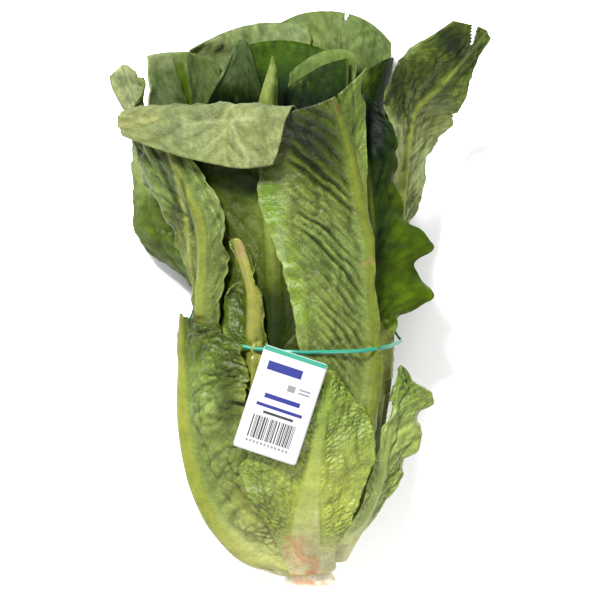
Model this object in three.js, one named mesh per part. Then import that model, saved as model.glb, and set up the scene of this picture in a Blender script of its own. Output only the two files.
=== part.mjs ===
// Romaine lettuce head, cut and lying on its back on a flat surface, bound by a twist tie with a card tag.
//
// Units are millimetres. +Y runs from the cut stem to the leaf tips, +Z is up, and the origin is the middle
// of the small flat spot under the head's lowest rib, on the surface that it rests on.
//
// The head is described in its own terms: s is the distance from the cut face along the axis, phi the angle
// round the axis (0 faces up, 90 is +X), and rho the distance from the axis. Leaves are laid down from the
// heart outwards. Each one follows its own shape where it can, and is lifted clear of what already lies
// inside it, so that leaves nest without crossing.
import * as THREE from "three";

// ---------------------------------------------------------------- driving dimensions
const REST_S = 105; // distance from the cut face to the flat spot
const AXIS_HEIGHT = 43.6; // height of the head's axis over the surface
const BUTT_SHIFT = 11; // sideways bend of the axis at the cut stem
const BEND_LENGTH = 100; // how far up the axis that bend reaches
const WIDE = 1.08; // the head lies a little flattened: wider than round
const FLAT_ABOVE = 0.85; // and lower than round,
const FLAT_BELOW = 0.74; // most of all on the side that carries its weight
const NECK = 0.3; // share by which everything is drawn in at the cut stem
const NECK_LENGTH = 42;
const PRESSED = 0.07; // share by which the lowest side is flattened
const PRESSED_WIDTH = 22; // and over how many degrees
const WAIST = 0.07; // share by which the tie draws in the back of the head
const WAIST_LENGTH = 24;

const BLADE = 0.9; // blade thickness
const GAP = 1.45; // clearance between a leaf and what lies inside it

const TIE_S = 136; // where the tie crosses the front
const TIE_LEAN = 14; // how much farther up the head its back lies, over half of its loop
const TIE_SKEW = 3; // and its left over its right
const TIE_WIDTH = 3.2;
const TIE_THICK = 1.0;
const TIE_CLEAR = 0.7;
const TAG_WIDTH = 37;
const TAG_LENGTH = 59.5;
const TAG_THICK = 0.8;
const TAG_X = 2.6;
const TAG_S = 111.1;
const TAG_TURN = -17.9; // degrees
const TAG_LEAN = 4;
const TAG_ROLL = -4;
const TAG_CLEAR = 0.4;

const DEGREE = Math.PI / 180;

// ---------------------------------------------------------------- the head's frame
function axisX(s) {
  const t = Math.max(0, 1 - s / BEND_LENGTH);
  return BUTT_SHIFT * t * t;
}

function tieS(phi) {
  return TIE_S + TIE_LEAN * (1 - Math.cos(phi)) - TIE_SKEW * Math.sin(phi);
}

// How far everything is drawn in towards the axis: at the cut stem, under the tie, and where the head lies.
function drawn(s, phi) {
  const neck = NECK * (1 - smoothstep(0, NECK_LENGTH, s));
  const waist = (WAIST * (1 - Math.cos(phi)) * bell((s - tieS(phi)) / WAIST_LENGTH)) / 2;
  const fromBelow = Math.acos(-Math.cos(phi)) / DEGREE;
  return 1 - neck - waist - PRESSED * bell(fromBelow / PRESSED_WIDTH);
}

function bell(x) {
  return Math.exp(-x * x);
}

// The point at s, phi, rho.
function point(s, phi, rho) {
  const r = rho * drawn(s, phi);
  const up = r * Math.cos(phi);
  return new THREE.Vector3(
    axisX(s) + WIDE * r * Math.sin(phi),
    s - REST_S,
    AXIS_HEIGHT + up * (up > 0 ? FLAT_ABOVE : FLAT_BELOW),
  );
}

// The s, phi and rho of a point.
function terms(p) {
  const s = p.y + REST_S;
  const x = (p.x - axisX(s)) / WIDE;
  const up = p.z - AXIS_HEIGHT;
  const z = up / (up > 0 ? FLAT_ABOVE : FLAT_BELOW);
  const phi = Math.atan2(x, z);
  return { s, phi, rho: Math.hypot(x, z) / drawn(s, phi) };
}

// Nothing goes below the surface; the lowest rib is pressed flat against it.
function settle(p) {
  p.z = Math.max(0, p.z);
  return p;
}

// ---------------------------------------------------------------- small helpers
// A smooth curve through evenly spaced values, read at t from 0 to 1.
function along(values, t) {
  if (typeof values === "number") return values;
  if (values.length === 1) return values[0];
  const n = values.length - 1;
  const i = Math.min(n - 1, Math.max(0, Math.floor(t * n)));
  const f = t * n - i;
  const at = (k) => values[Math.min(n, Math.max(0, k))];
  const a = slope(at(i - 1), at(i), at(i + 1), i === 0);
  const b = slope(at(i), at(i + 1), at(i + 2), i === n - 1);
  const d = at(i + 1) - at(i);
  return at(i) + f * (a + f * (3 * d - 2 * a - b + f * (a + b - 2 * d)));
}

// The slope of such a curve at its middle value, or along its end span.
function slope(before, middle, after, end) {
  return end ? (before === middle ? after - middle : middle - before) : (after - before) / 2;
}

function clamp(x, low, high) {
  return Math.min(high, Math.max(low, x));
}

function smoothstep(low, high, x) {
  const t = clamp((x - low) / (high - low), 0, 1);
  return t * t * (3 - 2 * t);
}

// The larger of two lengths, rounded off where they meet.
function smoothMax(a, b, soft) {
  return (a + b + Math.hypot(a - b, soft)) / 2;
}

// ---------------------------------------------------------------- what has been laid down so far
// A map over (s, phi) of how far out the head reaches, which each new leaf is lifted clear of.
const MAP_STEP = 2.5;
const MAP_FOOT_ROWS = 24; // extra rows near the cut stem, where the head widens fast
const MAP_FOOT_LENGTH = 40;
const MAP_ROWS = 170;
const MAP_COLUMNS = 120;

function mapRow(s) {
  return s / MAP_STEP + MAP_FOOT_ROWS * (1 - Math.exp(-s / MAP_FOOT_LENGTH));
}

class Laid {
  constructor() {
    this.reach = new Float64Array(MAP_ROWS * MAP_COLUMNS);
    for (let s = 0; s < STEM_END; s += 0.5) {
      const start = Math.round(mapRow(s)) * MAP_COLUMNS;
      this.reach.fill(stemRadius(s), start, start + MAP_COLUMNS);
    }
    this.smooth();
  }

  static column(phi) {
    const turn = phi / (2 * Math.PI);
    return (turn - Math.floor(turn)) * MAP_COLUMNS;
  }

  add(point) {
    const { s, phi, rho } = terms(point);
    const i = Math.round(mapRow(Math.max(0, s)));
    const j = Math.round(Laid.column(phi)) % MAP_COLUMNS;
    if (i < 0 || i >= MAP_ROWS) return;
    const k = i * MAP_COLUMNS + j;
    this.reach[k] = Math.max(this.reach[k], rho);
  }

  // Widens each value over its neighbours and then averages, so that the smooth map is never too low.
  smooth() {
    let map = this.reach;
    for (const pick of [Math.max, Math.max, Math.max, average, average]) map = combine(map, pick);
    this.map = map;
  }

  at(s, phi) {
    const y = Math.min(MAP_ROWS - 1.001, mapRow(Math.max(0, s)));
    const x = Laid.column(phi);
    const i = Math.floor(y);
    const j = Math.floor(x) % MAP_COLUMNS;
    const j2 = (j + 1) % MAP_COLUMNS;
    const fy = y - i;
    const fx = x - Math.floor(x);
    const low = this.map[i * MAP_COLUMNS + j] * (1 - fx) + this.map[i * MAP_COLUMNS + j2] * fx;
    const next = i + 1;
    const high = this.map[next * MAP_COLUMNS + j] * (1 - fx) + this.map[next * MAP_COLUMNS + j2] * fx;
    return low * (1 - fy) + high * fy;
  }
}

function average(...values) {
  return values.reduce((a, b) => a + b, 0) / values.length;
}

// Each cell of the map takes pick() of itself and its eight neighbours.
function combine(map, pick) {
  const made = new Float64Array(map.length);
  for (let i = 0; i < MAP_ROWS; i++)
    for (let j = 0; j < MAP_COLUMNS; j++) {
      const near = [];
      for (const di of [-1, 0, 1])
        for (const dj of [-1, 0, 1]) {
          const row = Math.min(MAP_ROWS - 1, Math.max(0, i + di));
          const column = (j + dj + MAP_COLUMNS) % MAP_COLUMNS;
          near.push(map[row * MAP_COLUMNS + column]);
        }
      made[i * MAP_COLUMNS + j] = pick(...near);
    }
  return made;
}

// ---------------------------------------------------------------- leaves
// Lists run from a leaf's foot to its tip and are read evenly along it:
//   s, phi, rho      the rib's path, in mm, degrees and mm
//   left, right      half-widths of the blade towards falling and rising phi
//   liftL, liftR     how far those edges stand off from the rib's rho
//   drop, skew       how far both edges lie behind the rib, and how far the right edge is ahead of the left
//   wave, waves, at  height, number and phase of the waves along the edges
//   ribWide, ribHigh half-width and height of the rib at the foot
//   rows             how many rows of quads the blade is made of
//   free             the share of the length past which the leaf isn't lifted clear (a part folded outwards)
const HEART = 0x5f7f38;
const CROWN = 0x5d7d42;
const DARK = 0x56763a;
const GREEN = 0x6f9440;
const RIBBED = 0x84a04a;
const PALE = 0x93a56c;
const BRIGHT = 0x9fb550;

const LEAVES = [];
const FIRST_OVER_TIE = "short_leaf_left"; // this leaf and those after it lie outside the tie

function leaf(name, spec) {
  LEAVES.push({
    name,
    color: GREEN,
    liftL: 0,
    liftR: 0,
    drop: [0, 0, 3, 10, 24],
    skew: 0,
    wave: 3,
    waves: 4,
    at: 0,
    ribWide: 13,
    ribHigh: 5.5,
    free: 1,
    rows: 14,
    ...spec,
  });
}

const HEART_LEAVES = 3;
const HEART_TURN = 137.5;
for (let i = 0; i < HEART_LEAVES; i++)
  leaf(`heart_leaf_${i + 1}`, {
    color: HEART,
    s: [66 - 8 * i, 130, 190, 240 + 8 * i],
    phi: 70 + HEART_TURN * i,
    rho: [6, 5 + 2 * i, 7 + 3 * i, 9 + 4 * i],
    left: [6, 10 + 4 * i, 12 + 5 * i, 8 + 3 * i],
    right: [6, 10 + 4 * i, 12 + 5 * i, 8 + 3 * i],
    drop: [0, 2, 6, 14],
    wave: 0.6,
    ribWide: 5,
    ribHigh: 1.8,
    rows: 10,
  });

leaf("inner_leaf_pointed_middle", {
  color: CROWN,
  s: [44, 115, 180, 245, 306],
  phi: [-80, -80, -82, -84, -55],
  rho: [9, 15, 18, 18, 12],
  left: [8, 18, 20, 17, 2.5],
  right: [8, 18, 20, 12, 2.5],
  drop: [0, 0, 2, 4, 8],
  wave: 0.6,
  ribWide: 6,
  ribHigh: 2.2,
  rows: 12,
  liftL: [0, 0, 0, 9, 0],
  liftR: [0, 0, 0, -6, 0],
});
leaf("inner_leaf_right", {
  color: DARK,
  s: [40, 110, 180, 245, 300],
  phi: [120, 120, 130, 138, 142],
  rho: [10, 18, 21, 22, 20],
  left: [9, 20, 26, 24, 14],
  right: [9, 20, 24, 24, 18],
  drop: [0, 0, 1, 2, 3],
  wave: 0.8,
  ribWide: 6,
  ribHigh: 2.4,
  rows: 12,
  liftL: [0, 0, 2, 6, 10],
  skew: [0, 0, 0, -3, -9],
});
leaf("inner_leaf_pointed_left", {
  color: CROWN,
  s: [36, 110, 180, 250, 319],
  phi: [-125, -126, -126, -124, -136],
  rho: [11, 22, 30, 38, 38],
  left: [9, 22, 28, 32, 8],
  right: [9, 22, 32, 42, 12],
  drop: [0, 0, 2, 6, 16],
  wave: 0.8,
  ribWide: 7,
  ribHigh: 2.6,
  liftR: [0, 0, 4, 12, 2],
});
leaf("inner_leaf_front", {
  color: DARK,
  s: [34, 100, 165, 220, 262],
  phi: [20, 20, 15, 10, 5],
  rho: [11, 25, 32, 38, 44],
  left: [9, 24, 32, 34, 22],
  right: [9, 24, 32, 34, 22],
  drop: [0, 0, 3, 8, 16],
  wave: 1,
  ribWide: 7,
  ribHigh: 2.8,
  rows: 12,
});
leaf("crown_leaf_arc", {
  color: PALE,
  s: [28, 105, 180, 250, 312],
  phi: [140, 140, 142, 146, 149],
  rho: [12, 28, 32, 34, 34],
  left: [8, 24, 30, 28, 24],
  right: [8, 24, 30, 28, 20],
  drop: [0, 0, 3, 5, 8],
  wave: 1,
  ribWide: 8,
  ribHigh: 3,
  rows: 12,
  skew: [0, 0, 0, -2, -5],
});
leaf("inner_leaf_back", {
  color: DARK,
  s: [31, 105, 180, 250, 319],
  phi: [-170, -172, -174, -172, -170],
  rho: [11, 26, 31, 36, 40],
  left: [10, 26, 36, 38, 26],
  right: [10, 26, 36, 38, 26],
  drop: [0, 0, 3, 5, 6],
  wave: 1,
  ribWide: 8,
  ribHigh: 2.8,
  rows: 12,
});
leaf("crown_leaf_right", {
  color: GREEN,
  s: [29, 105, 180, 250, 306],
  phi: [80, 82, 86, 90, 92],
  rho: [12, 32, 38, 45, 54],
  left: [10, 24, 34, 38, 30],
  right: [6, 18, 18, 14, 8],
  drop: [0, 0, 3, 8, 18],
  wave: 1,
  ribWide: 8,
  ribHigh: 3,
  liftL: [0, 0, 0, -6, -20],
});
leaf("crown_leaf_left", {
  color: CROWN,
  s: [22, 105, 180, 250, 311],
  phi: [-105, -105, -106, -108, -110],
  rho: [12, 34, 42, 53, 61],
  left: [11, 24, 30, 33, 25],
  right: [11, 28, 40, 42, 32],
  liftR: [0, 0, 2, 15, 20],
  drop: [0, 0, 3, 6, 6],
  wave: 1,
  ribWide: 9,
  ribHigh: 3.5,
  liftL: [0, 0, -3, -6, -6],
});
leaf("crown_leaf_back_left", {
  color: CROWN,
  s: [20, 105, 180, 255, 329],
  phi: [-150, -150, -152, -154, -153],
  rho: [13, 34, 39, 42, 51],
  left: [11, 28, 36, 40, 33],
  right: [11, 26, 30, 34, 31],
  drop: [0, 0, 3, 6, 8],
  skew: [0, 0, 0, -3, -7],
  wave: 0.8,
  ribWide: 9,
  ribHigh: 3.5,
  liftR: [0, 0, 0, 1, 10],
});
leaf("crown_leaf_back_right", {
  color: GREEN,
  s: [18, 105, 185, 262, 337],
  phi: [150, 150, 150, 151, 152],
  rho: [13, 35, 40, 46, 58],
  left: [11, 28, 36, 38, 37],
  right: [11, 28, 36, 38, 36],
  drop: [0, 0, 3, 7, 13],
  wave: 1.5,
  ribWide: 9,
  ribHigh: 3.5,
  skew: [0, 0, 0, 0, 7],
});
leaf("back_leaf_left", {
  s: [10, 80, 150, 220, 284],
  phi: [-134, -138, -140, -140, -138],
  rho: [14, 42, 47, 49, 53],
  left: [10, 28, 34, 32, 20],
  right: [12, 28, 36, 34, 22],
  wave: 0.8,
  ribWide: 12,
  ribHigh: 5.5,
});
leaf("back_leaf_right", {
  s: [10, 80, 150, 220, 288],
  phi: [118, 122, 126, 128, 128],
  rho: [14, 44, 51, 52, 57],
  left: [12, 26, 32, 30, 20],
  right: [12, 28, 34, 36, 28],
  wave: 1.5,
  ribWide: 12,
  ribHigh: 5.5,
});
leaf("fold_leaf", {
  color: PALE,
  s: [17, 70, 125, 178, 230, 270, 270, 240],
  phi: [-28, -20, -13, -11, -13, -21, -26, -28],
  rho: [14, 34, 44, 49, 54, 62, 80, 80],
  left: [11, 20, 28, 36, 46, 57, 57, 50],
  right: [11, 18, 24, 26, 26, 27, 34, 30],
  liftL: [0, 0, 0, 2, 10, 18, 18, 18],
  drop: [0, 0, 0, 0, 2, 1, 0.5, -9],
  skew: [0, 0, 0, 0, 2, 0, -2.5, -9],
  wave: 1.5,
  waves: 3,
  ribWide: 9,
  ribHigh: 4,
  free: 0.76,
  rows: 22,
});
leaf("far_leaf_left", {
  color: DARK,
  s: [16, 85, 140, 176, 208, 240, 272, 302],
  phi: [-100, -96, -90, -86, -86, -88, -90, -91],
  rho: [14, 38, 46, 50, 58, 66, 80, 91],
  left: [12, 24, 26, 30, 32, 30, 24, 10],
  right: [12, 20, 22, 20, 18, 16, 17, 10],
  liftL: [0, 0, 0, 18, 40, 28, 12, 7],
  drop: [0, 0, 0, 0, 2, 4, 6, 6],
  wave: 2,
  ribWide: 9,
  ribHigh: 4,
  rows: 18,
  liftR: [0, 0, 0, 0, 0, 0, -14, -10],
});
leaf("flared_leaf_right", {
  color: RIBBED,
  s: [15, 70, 125, 175, 215, 250, 274, 290, 320],
  phi: [76, 74, 72.5, 72.5, 72.5, 73, 74.5, 78, 80],
  rho: [14, 38, 50, 54, 58, 62, 67, 82, 105],
  left: [12, 18, 20, 22, 24, 24, 22, 25, 20],
  right: [12, 20, 24, 24, 20, 24, 27, 16, 3],
  liftL: [0, 0, 0, 0, 0, 2, -2, -13, -16],
  liftR: [0, 0, 0, 2, 8, 14, 20, 8, 2],
  drop: 0,
  skew: [0, 0, 0, 0, 0, 0, -2, -11, -4],
  wave: 2,
  waves: 6,
  ribWide: 10,
  ribHigh: 4.5,
  rows: 20,
});
leaf("broken_leaf_left", {
  color: BRIGHT,
  s: [24, 60, 100, 140, 166, 180, 200],
  phi: [-44, -35, -26, -21.5, -21, -24, -30],
  rho: [20, 38, 47, 51.5, 53.5, 54.5, 56],
  left: [9, 17, 23, 23, 19, 6, 4],
  right: [9, 14, 11, 7, 5, 4, 4],
  drop: [0, 0, 0, 0, 2, 1, 2],
  wave: 1.5,
  ribWide: 11,
  ribHigh: 5,
});
leaf("waved_leaf_right", {
  s: [14, 80, 128, 148, 168, 200, 235, 285],
  phi: [46, 44, 42, 42, 42, 42, 40, 34],
  rho: [15, 45, 51, 53, 54, 55, 57, 60],
  left: [12, 20, 24, 25, 26, 26, 24, 14],
  right: [12, 18, 14, 17, 26, 27, 17, 12],
  liftR: [0, 0, 0, 6, 22, 22, 2, 0],
  drop: [0, 0, 0, 0, 2, 2, 4, 10],
  wave: 4,
  waves: 7.5,
  ribWide: 10,
  ribHigh: 4.5,
  rows: 22,
});
leaf("side_leaf_left", {
  s: [12, 75, 130, 170, 205, 235, 264],
  phi: [-64, -65, -60, -55, -47, -51, -58],
  rho: [15, 44, 54, 56, 59, 66, 74],
  left: [9, 17, 16, 15, 26, 33, 28],
  right: [9, 14, 17, 16, 14, 14, 10],
  drop: [0, 0, 0, 1, 3, 6, 10],
  wave: 2,
  waves: 5,
  ribWide: 12,
  ribHigh: 5.5,
});
leaf("front_rib_leaf", {
  color: RIBBED,
  s: [7, 62, 118, 175, 232, 277],
  phi: [4, 28.5, 41, 37.5, 26, 16],
  rho: [15, 47, 57, 60, 65, 73],
  left: [13, 17, 35, 42, 47, 28],
  right: [13, 13, 6, 5, 10, 22],
  drop: [0, 0, 0, 0, 2, -6],
  skew: [0, 0, 0, 0, 4, 14],
  wave: 1.5,
  waves: 4,
  ribWide: 13,
  ribHigh: 6,
  rows: 20,
});
leaf("back_leaf_middle", {
  s: [8, 79, 141, 208, 276],
  phi: [178, 180, 180, 181, 182],
  rho: [15, 56.2, 61.7, 56, 60.6],
  left: [12, 34, 45, 46, 27],
  right: [13, 34, 45, 46, 24],
  wave: 1.2,
  ribWide: 15,
  ribHigh: 5,
});
leaf("short_leaf_left", {
  color: RIBBED,
  s: [7, 30, 60, 95, 125, 156],
  phi: [-50, -70, -73, -73, -71, -67],
  rho: [16, 36, 50, 57, 58, 59],
  left: [13, 24, 24, 22, 20, 17],
  right: [14, 30, 48, 51, 48, 43],
  drop: [0, 0, 0, 0, 4, 10],
  skew: [0, 0, 0, 0, -2, -6],
  wave: 3,
  waves: 6,
  ribWide: 12,
  ribHigh: 6,
});
leaf("short_leaf_right", {
  color: BRIGHT,
  s: [26, 55, 80, 105, 128],
  phi: [42, 51, 53, 57, 61],
  rho: [34, 52, 60, 64, 66],
  left: [8, 9, 7, 6, 4],
  right: [8, 14, 18, 17, 7],
  liftR: [0, 3, 7, 10, 4],
  drop: [0, 0, 0, 2, 8],
  wave: 3,
  waves: 4,
  ribWide: 9,
  ribHigh: 3,
});
leaf("short_leaf_front", {
  color: BRIGHT,
  s: [8, 42, 76, 100, 126],
  phi: [0, 5, 12, 15, 17],
  rho: [16, 43, 57, 64, 66],
  left: [6, 20, 42, 34, 10],
  right: [6, 20, 28, 25, 8],
  drop: [0, 0, 0, 2, 10],
  wave: 2,
  waves: 4,
  ribWide: 11,
  ribHigh: 4,
});

// The blade's midline surface before it is lifted clear: u from -1 (left edge) to 1, v from 0 (foot) to 1.
function wanted(leaf, u, v) {
  const a = Math.abs(u);
  const wide = along(u < 0 ? leaf.left : leaf.right, v);
  const lift = along(u < 0 ? leaf.liftL : leaf.liftR, v);
  const rho = along(leaf.rho, v);
  const wave = leaf.wave * a * a * a * smoothstep(0.2, 0.45, v);
  const phase = 2 * Math.PI * (leaf.waves * v + leaf.at + (u < 0 ? 0.3 : 0));
  return {
    s: along(leaf.s, v) - along(leaf.drop, v) * a * a + along(leaf.skew, v) * u,
    phi: along(leaf.phi, v) * DEGREE + (u * wide) / Math.max(rho, 10),
    rho: rho + lift * a ** 1.5 + wave * Math.sin(phase),
  };
}

function thickness(leaf, u, v) {
  const wide = along(u < 0 ? leaf.left : leaf.right, v);
  const ribWide = leaf.ribWide * (1 - 0.88 * v ** 0.8);
  const fade = 1 - smoothstep(0.82, 1, v);
  const high = leaf.ribHigh * (1 - v) ** 0.9 * fade * (0.1 + 0.9 * smoothstep(0, 0.16, v));
  const across = (Math.abs(u) * wide) / ribWide;
  return BLADE + high * Math.exp(-across * across * 1.6);
}

// The blade's inner face, lifted clear of what lies inside it.
function innerFace(leaf, laid, u, v) {
  const { s, phi, rho } = wanted(leaf, u, v);
  if (v > leaf.free) return point(s, phi, rho);
  const clear = laid.at(s, phi) + GAP * (0.5 + 0.5 * smoothstep(5, 50, s));
  return point(s, phi, smoothMax(rho, clear, 1.5));
}

function outerFace(leaf, laid, u, v) {
  const step = 0.004;
  const face = (du, dv) => innerFace(leaf, laid, clamp(u + du, -1, 1), clamp(v + dv, 0, 1));
  const alongU = face(step, 0).sub(face(-step, 0));
  const alongV = face(0, step).sub(face(0, -step));
  const out = alongU.cross(alongV).normalize();
  return face(0, 0).addScaledVector(out, thickness(leaf, u, v));
}

// A closed sheet from a grid of (inner, outer) pairs, split into triangles alike on both faces.
function sheet(columns, rows, pair) {
  const vertices = [];
  const faces = [];
  for (let j = 0; j <= rows; j++)
    for (let i = 0; i <= columns; i++) {
      const [inner, outer] = pair(i, j);
      vertices.push(...inner.toArray(), ...outer.toArray());
    }
  const at = (i, j, side) => 2 * (j * (columns + 1) + i) + side;
  const quad = (a, b, c, d) => faces.push(a, b, c, a, c, d);
  for (let j = 0; j < rows; j++)
    for (let i = 0; i < columns; i++) {
      quad(at(i, j, 1), at(i + 1, j, 1), at(i + 1, j + 1, 1), at(i, j + 1, 1));
      quad(at(i, j, 0), at(i, j + 1, 0), at(i + 1, j + 1, 0), at(i + 1, j, 0));
    }
  for (let i = 0; i < columns; i++) {
    quad(at(i, 0, 0), at(i + 1, 0, 0), at(i + 1, 0, 1), at(i, 0, 1));
    quad(at(i, rows, 0), at(i, rows, 1), at(i + 1, rows, 1), at(i + 1, rows, 0));
  }
  for (let j = 0; j < rows; j++) {
    quad(at(0, j, 0), at(0, j, 1), at(0, j + 1, 1), at(0, j + 1, 0));
    quad(at(columns, j, 0), at(columns, j + 1, 0), at(columns, j + 1, 1), at(columns, j, 1));
  }
  const geometry = new THREE.BufferGeometry();
  geometry.setAttribute("position", new THREE.Float32BufferAttribute(vertices, 3));
  geometry.setIndex(faces);
  geometry.computeVertexNormals();
  return geometry;
}

const LEAF_COLUMNS = [-1, -0.68, -0.36, -0.12, 0, 0.12, 0.36, 0.68, 1];
const MAP_SAMPLES_U = 60;
const MAP_SAMPLES_V = 220;
const FOOT_CROWDING = 1.3; // rows lie closer together towards a leaf's foot

function leafGeometry(leaf, laid) {
  return sheet(LEAF_COLUMNS.length - 1, leaf.rows, (i, j) => {
    const u = LEAF_COLUMNS[i];
    const v = (j / leaf.rows) ** FOOT_CROWDING;
    return [innerFace(leaf, laid, u, v), settle(outerFace(leaf, laid, u, v))];
  });
}

// Marks a leaf on the map. Points are taken first, so that the leaf isn't lifted clear of itself.
function layDown(leaf, laid) {
  const points = [];
  for (let i = 0; i <= MAP_SAMPLES_U; i++)
    for (let j = 0; j <= MAP_SAMPLES_V; j++) {
      const v = (j / MAP_SAMPLES_V) ** FOOT_CROWDING;
      if (v <= leaf.free) points.push(outerFace(leaf, laid, (2 * i) / MAP_SAMPLES_U - 1, v));
    }
  points.forEach((p) => laid.add(p));
  laid.smooth();
}

// ---------------------------------------------------------------- stem
// The stem's radius at distances from the cut face.
const STEM_END = 80;
const STEM_PROFILE = [
  [0, 17.2],
  [0.8, 18.6],
  [5, 17.4],
  [9, 14.5],
  [16, 12.5],
  [30, 11],
  [45, 8.5],
  [60, 6],
  [72, 3.5],
  [STEM_END, 0],
];

function stemRadius(s) {
  for (let i = 1; i < STEM_PROFILE.length; i++) {
    const [s0, r0] = STEM_PROFILE[i - 1];
    const [s1, r1] = STEM_PROFILE[i];
    if (s <= s1) return r0 + ((r1 - r0) * (s - s0)) / (s1 - s0);
  }
  return 0;
}

function stemGeometry() {
  const profile = [new THREE.Vector2(0, 0), ...STEM_PROFILE.map(([s, r]) => new THREE.Vector2(r, s))];
  const geometry = new THREE.LatheGeometry(profile, 24);
  const position = geometry.getAttribute("position");
  for (let i = 0; i < position.count; i++) {
    const x = position.getX(i);
    const z = position.getZ(i);
    const p = point(position.getY(i), Math.atan2(x, z), Math.hypot(x, z));
    position.setXYZ(i, p.x, p.y, p.z);
  }
  return geometry;
}

// ---------------------------------------------------------------- twist tie and tag
// The tie is drawn tight: its loop is the convex outline of the head's section along the tie's path.
const TIE_POINTS = 64;

function tieLoop(laid) {
  const raw = [];
  for (let i = 0; i < TIE_POINTS; i++) {
    const phi = (2 * Math.PI * i) / TIE_POINTS - Math.PI;
    raw.push(point(tieS(phi), phi, laid.at(tieS(phi), phi) + TIE_CLEAR));
  }
  const corners = outline(raw);
  return raw.map((p, i) => {
    const phi = (2 * Math.PI * i) / TIE_POINTS - Math.PI;
    const ray = new THREE.Vector2(p.x, p.z - AXIS_HEIGHT).normalize();
    return { phi, ray, reach: reachAlong(corners, ray) };
  });
}

// The corners of the convex outline of some points in the x-z plane, as seen from the axis.
function outline(points) {
  const flat = points.map((p) => new THREE.Vector2(p.x, p.z - AXIS_HEIGHT));
  flat.sort((a, b) => a.x - b.x || a.y - b.y);
  const turn = (o, a, b) => (a.x - o.x) * (b.y - o.y) - (a.y - o.y) * (b.x - o.x);
  const half = (list) => {
    const kept = [];
    for (const p of list) {
      while (kept.length > 1 && turn(kept.at(-2), kept.at(-1), p) <= 0) kept.pop();
      kept.push(p);
    }
    return kept.slice(0, -1);
  };
  return [...half(flat), ...half(flat.reverse())];
}

// How far the outline reaches from the axis along a ray.
function reachAlong(corners, ray) {
  let reach = 0;
  corners.forEach((a, i) => {
    const b = corners[(i + 1) % corners.length];
    const edge = b.clone().sub(a);
    const across = ray.cross(edge);
    const t = a.cross(edge) / across;
    const k = a.cross(ray) / across;
    if (t > 0 && k >= -1e-9 && k <= 1 + 1e-9) reach = Math.max(reach, t);
  });
  return reach;
}

const TIE_CORNERS = [
  [0, -1],
  [0, 1],
  [1, 1],
  [1, -1],
];

function tieGeometry(loop) {
  const corner = (k, out, side) => {
    const { phi, ray, reach } = loop[k % TIE_POINTS];
    const r = reach + out * TIE_THICK;
    return [ray.x * r, tieS(phi) - REST_S + (side * TIE_WIDTH) / 2, AXIS_HEIGHT + ray.y * r];
  };
  const vertices = [];
  const faces = [];
  for (let k = 0; k < TIE_POINTS; k++)
    for (const [out, side] of TIE_CORNERS) vertices.push(...corner(k, out, side));
  for (let k = 0; k < TIE_POINTS; k++)
    for (let c = 0; c < 4; c++) {
      const a = 4 * k + c;
      const b = 4 * k + ((c + 1) % 4);
      const next = 4 * ((k + 1) % TIE_POINTS) - 4 * k;
      faces.push(a, b, b + next, a, b + next, a + next);
    }
  const geometry = new THREE.BufferGeometry();
  geometry.setAttribute("position", new THREE.Float32BufferAttribute(vertices, 3));
  geometry.setIndex(faces);
  geometry.computeVertexNormals();
  return geometry;
}

function layTie(loop, laid) {
  for (const { phi, ray, reach } of loop)
    for (const side of [-1, 0, 1]) {
      const r = reach + TIE_THICK;
      const y = tieS(phi) - REST_S + side * TIE_WIDTH;
      laid.add(new THREE.Vector3(ray.x * r, y, AXIS_HEIGHT + ray.y * r));
    }
  laid.smooth();
}

// The tag lies on the highest point that is under it, leaning with the leaves.
function tagGeometry(laid) {
  const lean = new THREE.Euler(TAG_LEAN * DEGREE, TAG_ROLL * DEGREE, TAG_TURN * DEGREE, "ZXY");
  const toHead = new THREE.Matrix4().makeRotationFromEuler(lean).setPosition(TAG_X, TAG_S - REST_S, 0);
  const toTag = toHead.clone().invert();
  let height = 0;
  for (let s = TAG_S - TAG_LENGTH; s < TAG_S + TAG_LENGTH; s += 1.5)
    for (let phi = -50; phi < 50; phi += 1.5) {
      const p = point(s, phi * DEGREE, laid.at(s, phi * DEGREE)).applyMatrix4(toTag);
      if (Math.abs(p.x) < TAG_WIDTH / 2 && Math.abs(p.y) < TAG_LENGTH / 2) height = Math.max(height, p.z);
    }
  const geometry = new THREE.BoxGeometry(TAG_WIDTH, TAG_LENGTH, TAG_THICK);
  geometry.translate(0, 0, height + TAG_CLEAR + TAG_THICK / 2);
  return geometry.applyMatrix4(toHead);
}

// ---------------------------------------------------------------- assembly
const head = new THREE.Group();

function add(name, geometry, color, roughness) {
  const mesh = new THREE.Mesh(geometry, new THREE.MeshStandardMaterial({ color, roughness, metalness: 0 }));
  mesh.name = name;
  head.add(mesh);
}

add("stem", stemGeometry(), 0xe8e6c8, 0.5);
const laid = new Laid();
for (const spec of LEAVES) {
  if (spec.name === FIRST_OVER_TIE) {
    const loop = tieLoop(laid);
    add("twist_tie", tieGeometry(loop), 0x2a9d7c, 0.45);
    layTie(loop, laid);
  }
  add(spec.name, leafGeometry(spec, laid), spec.color, 0.5);
  layDown(spec, laid);
}
add("tag", tagGeometry(laid), 0xf4f4f2, 0.6);

export default head;
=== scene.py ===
"""Romaine lettuce head lying on a pale floor: fine leaves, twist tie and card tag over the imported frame.

Lengths are millimetres until a mesh is made; s, phi and rho are the head's own terms, as in the part:
s runs from the cut face along the axis, phi turns round it from straight up, rho is the distance out.
On a leaf, v runs from its foot (0) to its tip (1) and u from its left edge (-1) to its right edge (1).
"""

import math

import bpy
import numpy as np
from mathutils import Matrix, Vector
from mathutils.geometry import convex_hull_2d


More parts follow.
